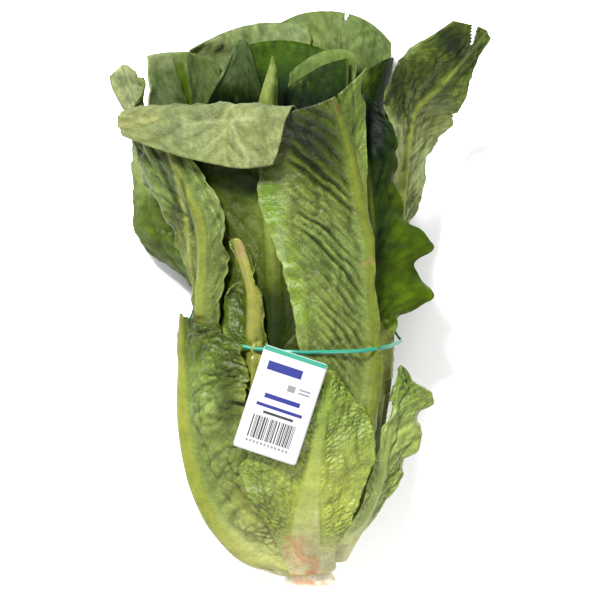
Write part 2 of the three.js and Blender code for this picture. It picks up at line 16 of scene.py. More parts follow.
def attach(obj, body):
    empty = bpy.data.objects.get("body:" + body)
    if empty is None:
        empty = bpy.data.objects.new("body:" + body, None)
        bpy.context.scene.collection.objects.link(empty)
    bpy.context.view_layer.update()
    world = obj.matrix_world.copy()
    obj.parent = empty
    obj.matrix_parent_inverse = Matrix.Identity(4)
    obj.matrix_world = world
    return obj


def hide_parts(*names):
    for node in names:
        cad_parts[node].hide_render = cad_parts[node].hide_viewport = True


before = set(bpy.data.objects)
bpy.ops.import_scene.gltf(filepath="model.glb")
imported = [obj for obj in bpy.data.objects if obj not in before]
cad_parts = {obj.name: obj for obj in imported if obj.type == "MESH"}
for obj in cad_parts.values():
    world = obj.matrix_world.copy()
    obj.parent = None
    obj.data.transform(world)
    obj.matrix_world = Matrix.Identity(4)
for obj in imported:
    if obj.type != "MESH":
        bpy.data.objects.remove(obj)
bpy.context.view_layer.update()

MM = 0.001
DEGREE = math.pi / 180

# ---- the part's dimensions: the head's shape
REST_S = 105  # where along the axis the head rests on the floor
AXIS_HEIGHT = 43.6
BUTT_SHIFT = 11  # how far the cut face lies to the right
BEND_LENGTH = 100
WIDE = 1.08
FLAT_ABOVE = 0.85
FLAT_BELOW = 0.74
NECK = 0.3
NECK_LENGTH = 42
PRESSED = 0.07
PRESSED_WIDTH = 22
WAIST = 0.07
WAIST_LENGTH = 24
STEM_PROFILE = [
    (0, 17.2), (0.8, 18.6), (5, 17.4), (9, 14.5), (16, 12.5),
    (30, 11), (45, 8.5), (60, 6), (72, 3.5), (80, 0),
]
# its leaves
BLADE = 0.9
GAP = 1.45
GAP_OPENS = (5, 50)  # the gap between leaves grows from half to full over these s
REST_SOFTNESS = 1.5
FOOT_CROWDING = 1.3
LAY_COLUMNS, LAY_ROWS = 61, 221
NUDGE = 0.004  # the step that finds a surface's direction
NUDGE_LIMIT = 1.2
# its tie and tag
TIE_POINTS = 64
TIE_S = 136
TIE_LEAN = 14
TIE_SKEW = 3
TIE_THICK = 1.0
TIE_CLEAR = 0.7
TIE_WIDTH = 3.2
TAG_WIDTH = 37
TAG_LENGTH = 59.5
TAG_THICK = 0.8
TAG_X = 2.6
TAG_S = 111.1
TAG_TURN = -17.9
TAG_LEAN = 4
TAG_ROLL = -4
TAG_CLEAR = 0.4

FLOOR_CLEAR = 0.05  # no fine mesh comes nearer to the floor


def smoothstep(low, high, x):
    t = np.clip((np.asarray(x, float) - low) / (high - low), 0, 1)
    return t * t * (3 - 2 * t)


def bell(x):
    return np.exp(-x * x)


def mix(a, b, t):
    return a + (b - a) * t


def cubic(v, slope, i, k, f):
    """The smooth curve from v[i] to v[k] with these slopes, a fraction f of the way."""
    a, b, d = slope[i], slope[k], v[k] - v[i]
    return v[i] + f * (a + f * (3 * d - 2 * a - b + f * (a + b - 2 * d)))


def along(values, t):
    """A smooth curve through evenly spaced values, read at t from 0 to 1."""
    t = np.asarray(t, float)
    if np.isscalar(values):
        return np.full(t.shape, float(values))
    v = np.asarray(values, float)
    n = len(v) - 1
    slope = np.concatenate([[v[1] - v[0]], (v[2:] - v[:-2]) / 2, [v[-1] - v[-2]]])
    i = np.clip(np.floor(t * n).astype(int), 0, n - 1)
    return cubic(v, slope, i, i + 1, t * n - i)


def round_loop(v, t):
    """A smooth closed curve through evenly spaced points, read at t from 0 to 1."""
    n = len(v)
    x = (t % 1) * n
    i = np.floor(x).astype(int) % n
    slope = (np.roll(v, -1, axis=0) - np.roll(v, 1, axis=0)) / 2
    return cubic(v, slope, i, (i + 1) % n, (x - np.floor(x))[:, None])


def unit(vectors):
    return vectors / np.maximum(np.linalg.norm(vectors, axis=-1, keepdims=True), 1e-9)


def axis_x(s):
    t = np.maximum(0, 1 - s / BEND_LENGTH)
    return BUTT_SHIFT * t * t


def tie_s(phi):
    return TIE_S + TIE_LEAN * (1 - np.cos(phi)) - TIE_SKEW * np.sin(phi)


def drawn(s, phi):
    """How much the head is drawn in at its neck, under the tie and where it lies on the floor."""
    neck = NECK * (1 - smoothstep(0, NECK_LENGTH, s))
    waist = WAIST * (1 - np.cos(phi)) * bell((s - tie_s(phi)) / WAIST_LENGTH) / 2
    from_below = np.arccos(np.clip(-np.cos(phi), -1, 1)) / DEGREE
    return 1 - neck - waist - PRESSED * bell(from_below / PRESSED_WIDTH)


def point(s, phi, rho):
    """The place in the scene's axes of a point in the head's terms."""
    r = rho * drawn(s, phi)
    up = r * np.cos(phi)
    z = AXIS_HEIGHT + up * np.where(up > 0, FLAT_ABOVE, FLAT_BELOW)
    return np.stack([axis_x(s) + WIDE * r * np.sin(phi), s - REST_S, z], axis=-1)


def terms(p):
    """The way back from the scene's axes to the head's terms."""
    s = p[..., 1] + REST_S
    x = (p[..., 0] - axis_x(s)) / WIDE
    up = p[..., 2] - AXIS_HEIGHT
    z = up / np.where(up > 0, FLAT_ABOVE, FLAT_BELOW)
    phi = np.arctan2(x, z)
    return s, phi, np.hypot(x, z) / drawn(s, phi)


# ---- noise, the same at each run
HASH_X, HASH_Y, HASH_SEED, HASH_MIX = 374761393, 668265263, 974634777, 1274126177
HASH_MASK = 0xFFFFFFFF
DOME_EDGE = 0.6  # how near to the line between two points a dome starts to fall


def chance(ix, iy, seed):
    """A number from 0 to 1 that looks random, for each cell."""
    h = (ix.astype(np.int64) * HASH_X + iy.astype(np.int64) * HASH_Y + seed * HASH_SEED) & HASH_MASK
    h = ((h ^ (h >> 13)) * HASH_MIX) & HASH_MASK
    return ((h ^ (h >> 16)) & HASH_MASK) / HASH_MASK


def noise(x, y, seed):
    """Smooth noise from -1 to 1 over cells of size 1."""
    x, y = np.broadcast_arrays(np.asarray(x, float), np.asarray(y, float))
    ix, iy = np.floor(x), np.floor(y)
    fx, fy = x - ix, y - iy
    fx, fy = fx * fx * (3 - 2 * fx), fy * fy * (3 - 2 * fy)
    low = mix(chance(ix, iy, seed), chance(ix + 1, iy, seed), fx)
    high = mix(chance(ix, iy + 1, seed), chance(ix + 1, iy + 1, seed), fx)
    return 2 * mix(low, high, fy) - 1


def rough_noise(x, y, seed, octaves=3):
    total = sum(noise(x * 2**k, y * 2**k, seed + k) / 2**k for k in range(octaves))
    return total / (2 - 0.5 ** (octaves - 1))


def domes(x, y, seed):
    """Domes from 0 to 1 round points scattered one to a cell of size 1."""
    ix, iy = np.floor(x), np.floor(y)
    first = np.full(x.shape, 9.0)
    second = np.full(x.shape, 9.0)
    for dx in (-1, 0, 1):
        for dy in (-1, 0, 1):
            px = ix + dx + 0.15 + 0.7 * chance(ix + dx, iy + dy, seed)
            py = iy + dy + 0.15 + 0.7 * chance(ix + dx, iy + dy, seed + 1)
            far = np.hypot(px - x, py - y)
            second = np.minimum(second, np.maximum(first, far))
            first = np.minimum(first, far)
    return smoothstep(0, DOME_EDGE, second - first)


# ---- what has been laid down so far
MAP_STEP = 2.5
MAP_FOOT_ROWS = 24
MAP_FOOT_LENGTH = 40
MAP_ROWS = 170
MAP_COLUMNS = 120
STEM_STEP = 0.5


def map_row(s):
    return s / MAP_STEP + MAP_FOOT_ROWS * (1 - np.exp(-s / MAP_FOOT_LENGTH))


def to_nearest(x):
    return np.floor(x + 0.5).astype(int)


class Laid:
    """How far out the stem and the leaves reach so far: a map over s and phi."""

    def __init__(self):
        self.reach = np.zeros((MAP_ROWS, MAP_COLUMNS))
        for s in np.arange(0, STEM_PROFILE[-1][0], STEM_STEP):
            self.reach[to_nearest(map_row(s))] = np.interp(s, *zip(*STEM_PROFILE))
        self.smooth()

    def add(self, points):
        s, phi, rho = terms(points.reshape(-1, 3))
        i = to_nearest(map_row(np.maximum(0, s)))
        j = to_nearest((phi / (2 * np.pi)) % 1 * MAP_COLUMNS) % MAP_COLUMNS
        fine = (i >= 0) & (i < MAP_ROWS)
        np.maximum.at(self.reach, (i[fine], j[fine]), rho[fine])

    def smooth(self):
        """Widen what stands out by three cells, then soften it."""
        made = self.reach
        for pick in (np.max, np.max, np.max, np.mean, np.mean):
            rows = np.concatenate([made[:1], made, made[-1:]])
            near = [
                np.roll(rows[1 + di : MAP_ROWS + 1 + di], -dj, axis=1)
                for di in (-1, 0, 1)
                for dj in (-1, 0, 1)
            ]
            made = pick(np.stack(near), axis=0)
        self.map = made

    def at(self, s, phi, table=None):
        table = self.map if table is None else table
        y = np.minimum(MAP_ROWS - 1.001, map_row(np.maximum(0, s)))
        x = (phi / (2 * np.pi)) % 1 * MAP_COLUMNS
        i = np.floor(y).astype(int)
        j = np.floor(x).astype(int) % MAP_COLUMNS
        k = (j + 1) % MAP_COLUMNS
        fy, fx = y - i, x - np.floor(x)
        return mix(mix(table[i, j], table[i, k], fx), mix(table[i + 1, j], table[i + 1, k], fx), fy)


# ---- the leaves' paths, as in the part, in growing order
LEAVES = {}
FIRST_OVER_TIE = "short_leaf_left"
LEAF_DEFAULTS = dict(
    lift_l=0, lift_r=0, drop=[0, 0, 3, 10, 24], skew=0, wave=3, waves=4, at=0,
    rib_wide=13, rib_high=5.5, free=1,
)


def leaf(name, **spec):
    LEAVES[name] = {**LEAF_DEFAULTS, **spec}


for i in range(3):
    leaf(
        f"heart_leaf_{i + 1}",
        s=[66 - 8 * i, 130, 190, 240 + 8 * i], phi=70 + 137.5 * i, rho=[6, 5 + 2 * i, 7 + 3 * i, 9 + 4 * i],
        left=[6, 10 + 4 * i, 12 + 5 * i, 8 + 3 * i], right=[6, 10 + 4 * i, 12 + 5 * i, 8 + 3 * i],
        drop=[0, 2, 6, 14], wave=0.6, rib_wide=5, rib_high=1.8,
    )
leaf(
    "inner_leaf_pointed_middle",
    s=[44, 115, 180, 245, 306], phi=[-80, -80, -82, -84, -55], rho=[9, 15, 18, 18, 12],
    left=[8, 18, 20, 17, 2.5], right=[8, 18, 20, 12, 2.5], drop=[0, 0, 2, 4, 8], wave=0.6,
    rib_wide=6, rib_high=2.2, lift_l=[0, 0, 0, 9, 0], lift_r=[0, 0, 0, -6, 0],
)
leaf(
    "inner_leaf_right",
    s=[40, 110, 180, 245, 300], phi=[120, 120, 130, 138, 142], rho=[10, 18, 21, 22, 20],
    left=[9, 20, 26, 24, 14], right=[9, 20, 24, 24, 18], drop=[0, 0, 1, 2, 3], wave=0.8,
    rib_wide=6, rib_high=2.4, lift_l=[0, 0, 2, 6, 10], skew=[0, 0, 0, -3, -9],
)
leaf(
    "inner_leaf_pointed_left",
    s=[36, 110, 180, 250, 319], phi=[-125, -126, -126, -124, -136], rho=[11, 22, 30, 38, 38],
    left=[9, 22, 28, 32, 8], right=[9, 22, 32, 42, 12], drop=[0, 0, 2, 6, 16], wave=0.8,
    rib_wide=7, rib_high=2.6, lift_r=[0, 0, 4, 12, 2],
)
leaf(
    "inner_leaf_front",
    s=[34, 100, 165, 220, 262], phi=[20, 20, 15, 10, 5], rho=[11, 25, 32, 38, 44],
    left=[9, 24, 32, 34, 22], right=[9, 24, 32, 34, 22], drop=[0, 0, 3, 8, 16], wave=1, rib_wide=7,
    rib_high=2.8,
)
leaf(
    "crown_leaf_arc",
    s=[28, 105, 180, 250, 312], phi=[140, 140, 142, 146, 149], rho=[12, 28, 32, 34, 34],
    left=[8, 24, 30, 28, 24], right=[8, 24, 30, 28, 20], drop=[0, 0, 3, 5, 8], wave=1, rib_wide=8,
    rib_high=3, skew=[0, 0, 0, -2, -5],
)
leaf(
    "inner_leaf_back",
    s=[31, 105, 180, 250, 319], phi=[-170, -172, -174, -172, -170], rho=[11, 26, 31, 36, 40],
    left=[10, 26, 36, 38, 26], right=[10, 26, 36, 38, 26], drop=[0, 0, 3, 5, 6], wave=1,
    rib_wide=8, rib_high=2.8,
)
leaf(
    "crown_leaf_right",
    s=[29, 105, 180, 250, 306], phi=[80, 82, 86, 90, 92], rho=[12, 32, 38, 45, 54],
    left=[10, 24, 34, 38, 30], right=[6, 18, 18, 14, 8], drop=[0, 0, 3, 8, 18], wave=1, rib_wide=8,
    rib_high=3, lift_l=[0, 0, 0, -6, -20],
)
leaf(
    "crown_leaf_left",
    s=[22, 105, 180, 250, 311], phi=[-105, -105, -106, -108, -110], rho=[12, 34, 42, 53, 61],
    left=[11, 24, 30, 33, 25], right=[11, 28, 40, 42, 32], lift_r=[0, 0, 2, 15, 20],
    drop=[0, 0, 3, 6, 6], wave=1, rib_wide=9, rib_high=3.5, lift_l=[0, 0, -3, -6, -6],
)
leaf(
    "crown_leaf_back_left",
    s=[20, 105, 180, 255, 329], phi=[-150, -150, -152, -154, -153], rho=[13, 34, 39, 42, 51],
    left=[11, 28, 36, 40, 33], right=[11, 26, 30, 34, 31], drop=[0, 0, 3, 6, 8],
    skew=[0, 0, 0, -3, -7], wave=0.8, rib_wide=9, rib_high=3.5, lift_r=[0, 0, 0, 1, 10],
)
leaf(
    "crown_leaf_back_right",
    s=[18, 105, 185, 262, 337], phi=[150, 150, 150, 151, 152], rho=[13, 35, 40, 46, 58],
    left=[11, 28, 36, 38, 37], right=[11, 28, 36, 38, 36], drop=[0, 0, 3, 7, 13], wave=1.5,
    rib_wide=9, rib_high=3.5, skew=[0, 0, 0, 0, 7],
)
leaf(
    "back_leaf_left",
    s=[10, 80, 150, 220, 284], phi=[-134, -138, -140, -140, -138], rho=[14, 42, 47, 49, 53],
    left=[10, 28, 34, 32, 20], right=[12, 28, 36, 34, 22], wave=0.8, rib_wide=12, rib_high=5.5,
)
leaf(
    "back_leaf_right",
    s=[10, 80, 150, 220, 288], phi=[118, 122, 126, 128, 128], rho=[14, 44, 51, 52, 57],
    left=[12, 26, 32, 30, 20], right=[12, 28, 34, 36, 28], wave=1.5, rib_wide=12, rib_high=5.5,
)
leaf(
    "fold_leaf",
    s=[17, 70, 125, 178, 230, 270, 270, 240], phi=[-28, -20, -13, -11, -13, -21, -26, -28],
    rho=[14, 34, 44, 49, 54, 62, 80, 80], left=[11, 20, 28, 36, 46, 57, 57, 50],
    right=[11, 18, 24, 26, 26, 27, 34, 30], lift_l=[0, 0, 0, 2, 10, 18, 18, 18],
    drop=[0, 0, 0, 0, 2, 1, 0.5, -9], skew=[0, 0, 0, 0, 2, 0, -2.5, -9], wave=1.5, waves=3,
    rib_wide=9, rib_high=4, free=0.76,
)
leaf(
    "far_leaf_left",
    s=[16, 85, 140, 176, 208, 240, 272, 302], phi=[-100, -96, -90, -86, -86, -88, -90, -91],
    rho=[14, 38, 46, 50, 58, 66, 80, 91], left=[12, 24, 26, 30, 32, 30, 24, 10],
    right=[12, 20, 22, 20, 18, 16, 17, 10], lift_l=[0, 0, 0, 18, 40, 28, 12, 7],
    drop=[0, 0, 0, 0, 2, 4, 6, 6], wave=2, rib_wide=9, rib_high=4,
    lift_r=[0, 0, 0, 0, 0, 0, -14, -10],
)
leaf(
    "flared_leaf_right",
    s=[15, 70, 125, 175, 215, 250, 274, 290, 320],
    phi=[76, 74, 72.5, 72.5, 72.5, 73, 74.5, 78, 80], rho=[14, 38, 50, 54, 58, 62, 67, 82, 105],
    left=[12, 18, 20, 22, 24, 24, 22, 25, 20], right=[12, 20, 24, 24, 20, 24, 27, 16, 3],
    lift_l=[0, 0, 0, 0, 0, 2, -2, -13, -16], lift_r=[0, 0, 0, 2, 8, 14, 20, 8, 2], drop=0,
    skew=[0, 0, 0, 0, 0, 0, -2, -11, -4], wave=2, waves=6, rib_wide=10, rib_high=4.5,
)
leaf(
    "broken_leaf_left",
    s=[24, 60, 100, 140, 166, 180, 200], phi=[-44, -35, -26, -21.5, -21, -24, -30],
    rho=[20, 38, 47, 51.5, 53.5, 54.5, 56], left=[9, 17, 23, 23, 19, 6, 4],
    right=[9, 14, 11, 7, 5, 4, 4], drop=[0, 0, 0, 0, 2, 1, 2], wave=1.5, rib_wide=11, rib_high=5,
)
leaf(
    "waved_leaf_right",
    s=[14, 80, 128, 148, 168, 200, 235, 285], phi=[46, 44, 42, 42, 42, 42, 40, 34],
    rho=[15, 45, 51, 53, 54, 55, 57, 60], left=[12, 20, 24, 25, 26, 26, 24, 14],
    right=[12, 18, 14, 17, 26, 27, 17, 12], lift_r=[0, 0, 0, 6, 22, 22, 2, 0],
    drop=[0, 0, 0, 0, 2, 2, 4, 10], wave=4, waves=7.5, rib_wide=10, rib_high=4.5,
)
leaf(
    "side_leaf_left",
    s=[12, 75, 130, 170, 205, 235, 264], phi=[-64, -65, -60, -55, -47, -51, -58],
    rho=[15, 44, 54, 56, 59, 66, 74], left=[9, 17, 16, 15, 26, 33, 28],
    right=[9, 14, 17, 16, 14, 14, 10], drop=[0, 0, 0, 1, 3, 6, 10], wave=2, waves=5, rib_wide=12,
    rib_high=5.5,
)
leaf(
    "front_rib_leaf",
    s=[7, 62, 118, 175, 232, 277], phi=[4, 28.5, 41, 37.5, 26, 16], rho=[15, 47, 57, 60, 65, 73],
    left=[13, 17, 35, 42, 47, 28], right=[13, 13, 6, 5, 10, 22], drop=[0, 0, 0, 0, 2, -6],
    skew=[0, 0, 0, 0, 4, 14], wave=1.5, waves=4, rib_wide=13, rib_high=6,
)
leaf(
    "back_leaf_middle",
    s=[8, 79, 141, 208, 276], phi=[178, 180, 180, 181, 182], rho=[15, 56.2, 61.7, 56, 60.6],
    left=[12, 34, 45, 46, 27], right=[13, 34, 45, 46, 24], wave=1.2, rib_wide=15, rib_high=5,
)
leaf(
    "short_leaf_left",
    s=[7, 30, 60, 95, 125, 156], phi=[-50, -70, -73, -73, -71, -67], rho=[16, 36, 50, 57, 58, 59],
    left=[13, 24, 24, 22, 20, 17], right=[14, 30, 48, 51, 48, 43], drop=[0, 0, 0, 0, 4, 10],
    skew=[0, 0, 0, 0, -2, -6], wave=3, waves=6, rib_wide=12, rib_high=6,
)
leaf(
    "short_leaf_right",
    s=[26, 55, 80, 105, 128], phi=[42, 51, 53, 57, 61], rho=[34, 52, 60, 64, 66],
    left=[8, 9, 7, 6, 4], right=[8, 14, 18, 17, 7], lift_r=[0, 3, 7, 10, 4], drop=[0, 0, 0, 2, 8],
    wave=3, waves=4, rib_wide=9, rib_high=3,
)
leaf(
    "short_leaf_front",
    s=[8, 42, 76, 100, 126], phi=[0, 5, 12, 15, 17], rho=[16, 43, 57, 64, 66],
    left=[6, 20, 42, 34, 10], right=[6, 20, 28, 25, 8], drop=[0, 0, 0, 2, 10], wave=2, waves=4,
    rib_wide=11, rib_high=4,
)


def half_width(leaf, u, v):
    """The leaf's half width on the side that u is on."""
    return np.where(u < 0, along(leaf["left"], v), along(leaf["right"], v))


def wanted(leaf, u, v):
    """A point of the leaf's inner face before it is laid over what lies inside it, in the head's terms."""
    a = np.abs(u)
    lift = np.where(u < 0, along(leaf["lift_l"], v), along(leaf["lift_r"], v))
    rho = along(leaf["rho"], v)
    wave = leaf["wave"] * a**3 * smoothstep(0.2, 0.45, v)
    phase = 2 * np.pi * (leaf["waves"] * v + leaf["at"] + np.where(u < 0, 0.3, 0))
    s = along(leaf["s"], v) - along(leaf["drop"], v) * a * a + along(leaf["skew"], v) * u
    phi = along(leaf["phi"], v) * DEGREE + u * half_width(leaf, u, v) / np.maximum(rho, 10)
    return s, phi, rho + lift * a**1.5 + wave * np.sin(phase)


def thickness(leaf, across, v):
    """The blade's thickness with its rib, across mm from the rib's middle."""
    v = np.clip(v, 0, 1)
    rib_wide = leaf["rib_wide"] * (1 - 0.88 * v**0.8)
    high = leaf["rib_high"] * (1 - v) ** 0.9 * (1 - smoothstep(0.82, 1, v))
    high = high * (0.1 + 0.9 * smoothstep(0, 0.16, v))
    return BLADE + high * np.exp(-((across / rib_wide) ** 2) * 1.6)


def inner_face(leaf, laid, u, v):
    s, phi, rho = wanted(leaf, u, v)
    clear = laid.at(s, phi) + GAP * (0.5 + 0.5 * smoothstep(*GAP_OPENS, s))
    lifted = (rho + clear + np.hypot(rho - clear, REST_SOFTNESS)) / 2
    return point(s, phi, np.where(v > leaf["free"], rho, lifted))


def outward(leaf, laid, u, v):
    """The inner face's normal, away from the head's axis."""
    def face(u, v):
        return inner_face(leaf, laid, u, v)

    du = face(np.minimum(NUDGE_LIMIT, u + NUDGE), v) - face(np.maximum(-NUDGE_LIMIT, u - NUDGE), v)
    dv = face(u, np.minimum(1, v + NUDGE)) - face(u, np.maximum(0, v - NUDGE))
    return unit(np.cross(du, dv))


def leaf_grid(columns, rows):
    """The grid's u across the leaf and v along it, with rows crowded at the foot."""
    u = np.linspace(-1, 1, columns)[None, :]
    v = ((np.arange(rows) / (rows - 1)) ** FOOT_CROWDING)[:, None]
    return np.broadcast_arrays(u, v)


def lay_down(leaf, laid):
    u, v = leaf_grid(LAY_COLUMNS, LAY_ROWS)
    thick = thickness(leaf, u * half_width(leaf, u, v), v)
    p = inner_face(leaf, laid, u, v) + outward(leaf, laid, u, v) * thick[..., None]
    laid.add(p[v <= leaf["free"]])
    laid.smooth()


# ---- colours
FULL_LIGHT = 2.4  # how much brighter than its own colour a surface facing the light comes out
SHINE = 0.016  # what the soft shine adds to it
DARKEST = 0.0015


def seen(r, g, b):
    """The colour that looks like this sRGB colour in full light, before the shine is taken off it."""
    c = np.array([r, g, b]) / 255
    return np.where(c <= 0.04045, c / 12.92, ((c + 0.055) / 1.055) ** 2.4) / FULL_LIGHT


def under_shine(colour):
    return np.clip(colour - SHINE / FULL_LIGHT, DARKEST, 1)


# ---- the leaves' looks. A list is read along the leaf, a pair is for its left and right side
LOOKS = {}
LOOK_DEFAULTS = dict(
    # colours, and how much of the vein's and rib's colour shows; pale: where along the leaf the foot's ends
    foot=(214, 210, 158), blade=(112, 130, 58), tip=(108, 126, 56), rib=(146, 158, 74), vein=(140, 156, 84),
    edge=(134, 152, 78), vein_show=0.3, rib_show=0.9, pale=0.26,
    # how much colour is left in the low places of the relief (painted shade in the hollows),
    # how bright crests and dome tops come out (painted highlight, with painted shade between domes),
    # how patchy the colour, and deep: painted shade inside the head, darker deeper down:
    # the y where it starts to clear and is gone, and how much of the colour is left in it
    dark=0.45, crest=0.15, sparkle=0.5, patch=0.22, deep=(0, 1, 1),
    # the rib: half width and place in mm, height; ridge: how much of the solid's own rib is kept
    rib_mm=[7, 5, 3.5, 2.4, 1.2], rib_at=0, rib_raise=0.35, ridge=1,
    # side veins: depth in mm, spacing in mm, slant, sharpness, where across they end and how deep along
    veins=0.9, spacing=11, climb=0.8, groove=3, vein_end=0.85, vein_grow=1,
    # blisters and crumpled folds: height and size in mm, and how much longer than wide
    blisters=0.6, blister=8, stretch=1, crumple=0.8, fold=18, long=1,
    # the edge: ruffle and jag (a share of the half width) with their lengths in mm; push: a bulge's place,
    # width and height; bites: side, place, width and depth; cuts: a torn wedge's open end, point, half width
    ruffle=1.2, ruffle_length=11, jag=0.03, jag_length=7, push=(1, 1, 0), bites=(), cuts=(),
    # shades: darker and lighter patches, many of them painted shade and painted light: x, y, half width,
    # half length and how much of the colour is left; strokes: marks such as stains and pale ribs, and
    # painted shadows and lit strips: two ends, half width, colour and how much of it;
    # both may end with the stretch along the leaf
    shades=(), strokes=(),
)


def look(name, slot, grid, **more):
    """A leaf's looks. grid is how many points its fine mesh has across and along."""
    LOOKS[name] = {**LOOK_DEFAULTS, "slot": slot, "grid": grid, **more}


# painted shade on its dark upper left and, with the dark vein colour, in its grooves; painted light on the
# pale strip right of its rib and on lit patches along its left edge
look(
    "front_rib_leaf", "leaf_front", (97, 301), blade=(126, 142, 72), tip=(98, 114, 50), rib=(122, 134, 52),
    rib_mm=[8.5, 7.6, 5.6, 3.8, 2.4, 1], rib_at=[0, 2, 4, 4.5, 4.5, 1], rib_raise=0.5, vein=(54, 68, 26),
    edge=(150, 168, 90), veins=(2.8, 0.5), spacing=[7, 7, 7, 8, 10, 11], climb=(1.2, 0.7), groove=2.2,
    vein_grow=[0.2, 0.3, 0.5, 0.9, 1.1, 0.9], vein_show=0.5, vein_end=0.72, blisters=0.8, blister=4,
    stretch=2.2, crumple=1.6, fold=20, dark=0.16, crest=0.55, patch=0.18, bites=((1, 0.97, 0.03, 0.25),),
    cuts=((21.3, 180.8, 28.2, 166.9, 2),),
    shades=[
        (2, 154, 18, 18, 0.28), (16, 150, 9, 14, 0.6), (18, 136, 12, 16, 0.6), (38, 150, 8, 40, 1.2),
        (-4, 100, 10, 22, 1.5), (6, 62, 9, 18, 1.35),
    ],
    strokes=[
        (41, 81, 46, 81, 1.6, (164, 146, 84), 0.7), (22, 174, 27, 164, 1.3, (110, 96, 60), 0.8),
        (-13, 122, -10, 98, 3.5, (118, 158, 40), 0.6), (-2, 88, 6, 50, 4.5, (124, 156, 44), 0.6),
        (-8, 100, -4, 80, 2.5, (170, 186, 130), 0.5),
    ],
)
look(
    "short_leaf_front", "leaf_young", (93, 201), foot=(210, 206, 152), blade=(158, 174, 76),
    tip=(134, 158, 58), rib=(196, 200, 128), rib_mm=[8, 6.5, 4, 2, 1, 1],
    rib_show=[0.9, 0.7, 0.3, 0.05, 0, 0], pale=0.22, ridge=0.35, vein=(180, 194, 104), edge=(170, 190, 78),
    veins=0.5, spacing=12, blisters=1, blister=3.2, stretch=1.4, crumple=2.2, fold=17, ruffle=1.6,
    ruffle_length=12, jag=0.05, jag_length=10, dark=0.62, sparkle=0.55, patch=0.3,
    bites=((-1, 0.52, 0.05, 0.16), (-1, 0.7, 0.06, -0.06)),
    shades=[(-19, -44, 10, 18, 0.62), (34, -20, 8, 26, 0.95)],
    strokes=[
        (3, -80, 6, -88, 4.4, (222, 150, 108), 0.6), (13, -88, 12, -96, 3, (214, 142, 98), 0.5),
        (-2, -74, 0, -78, 2.2, (206, 152, 104), 0.5), (9, -76, 10, -80, 2, (214, 160, 120), 0.4),
        (-4, -98, 26, -98, 2.6, (228, 150, 108), 0.6),
    ],
)
# the first shade is painted shade on its frilly top edge
look(
    "short_leaf_left", "leaf_front", (105, 201), foot=(190, 190, 116), blade=(132, 148, 74),
    tip=(96, 116, 44), rib=(160, 168, 72), rib_mm=[9, 9, 8, 7, 6, 4], rib_raise=0.5, vein=(152, 166, 90),
    edge=(140, 160, 70), veins=1, climb=0.7, blisters=1.1, blister=4.4, stretch=1.6, crumple=3.6, fold=14,
    long=0.8, ruffle=2.2, ruffle_length=10, jag=0.06, jag_length=9, dark=0.36, patch=0.32, pale=0.42,
    shades=[(-50, 50, 24, 14, 0.5), (-36, 6, 7, 26, 0.45), (-18, -54, 14, 26, 1.3), (-49, 4, 8, 22, 1.35)],
)
look(
    "short_leaf_right", "leaf_young", (57, 141), foot=(180, 190, 104), blade=(166, 182, 90),
    tip=(120, 142, 54), rib=(160, 176, 84), rib_mm=[4, 3, 2, 1], rib_show=0.4, vein=(166, 182, 92),
    edge=(150, 170, 70), veins=0.8, spacing=10, blisters=0.8, blister=4.6, crumple=2.6, fold=15, ruffle=2.4,
    ruffle_length=15, jag=0.16, jag_length=13, dark=0.4, patch=0.3,
)
look(
    "broken_leaf_left", "leaf_young", (57, 141), blade=(98, 118, 46), tip=(96, 114, 46),
    edge=(156, 178, 74), rib=(158, 160, 74), rib_mm=[8, 7, 6, 5, 4, 3.4, 3], rib_raise=0.6, blisters=1,
    blister=6, crumple=2.6, fold=13, ruffle=2.4, jag=0.14, patch=0.35,
    strokes=[
        (-29, 91, -28, 87, 2.6, (178, 146, 110), 0.6), (-22, 70, -19, 52, 3, (172, 160, 76), 0.35),
        (-40, 46, -32, 30, 1, (164, 186, 76), 0.8),
    ],
)
# the first shade and the wide dark stroke are painted shadow under the fold
look(
    "fold_leaf", "leaf_fold", (85, 241), blade=(82, 96, 40), tip=(146, 156, 100), edge=(160, 172, 112),
    rib=(150, 162, 78), rib_mm=[7, 6, 4.4, 4, 4, 3, 1.2, 0.6], rib_at=[0, 0, 0, 0, 0, 0, 2, 4],
    rib_show=[0, 0, 0, 0.45, 0.9, 0.6, 0.15, 0.1], sparkle=0.15, vein=(178, 188, 134), vein_show=0.4,
    veins=1.2, climb=0.9, blisters=0.7, blister=4, crumple=2.2, ruffle=1.4, jag_length=13, dark=0.5,
    crest=0, patch=0.12,
    shades=[
        (-33, 138, 20, 15, 0.8, 0, 0.72), (-10, 50, 14, 26, 0.35, 0, 0.7),
        (-72, 157, 24, 12, 0.84, 0.72, 1), (-14, 122, 5, 20, 1.5, 0, 0.7), (-44, 92, 9, 16, 0.6, 0, 0.7),
    ],
    strokes=[
        (-76, 162, -98, 158, 1.2, (176, 176, 112), 0.6),
        (-46, 144, -20, 122, 8, (52, 68, 18), 0.85, 0, 0.72),
        (-12, 62, -8, 10, 6, (50, 64, 24), 0.85, 0, 0.7),
        (-44, 118, -20, 84, 0.8, (116, 132, 70), 0.6, 0, 0.7),
        (-20, 112, -19, 96, 4, (122, 140, 66), 0.5, 0, 0.7),
        (-60, 158, -22, 160, 1, (190, 198, 144), 0.45, 0.72, 1),
        (-38, 150, -22, 138, 0.8, (104, 118, 58), 0.6, 0.72, 1),
        (-33, 158, -24, 137, 0.9, (190, 200, 146), 0.5, 0.72, 1),
        (-33, 158, -48, 143, 0.8, (186, 196, 140), 0.45, 0.72, 1),
    ],
)
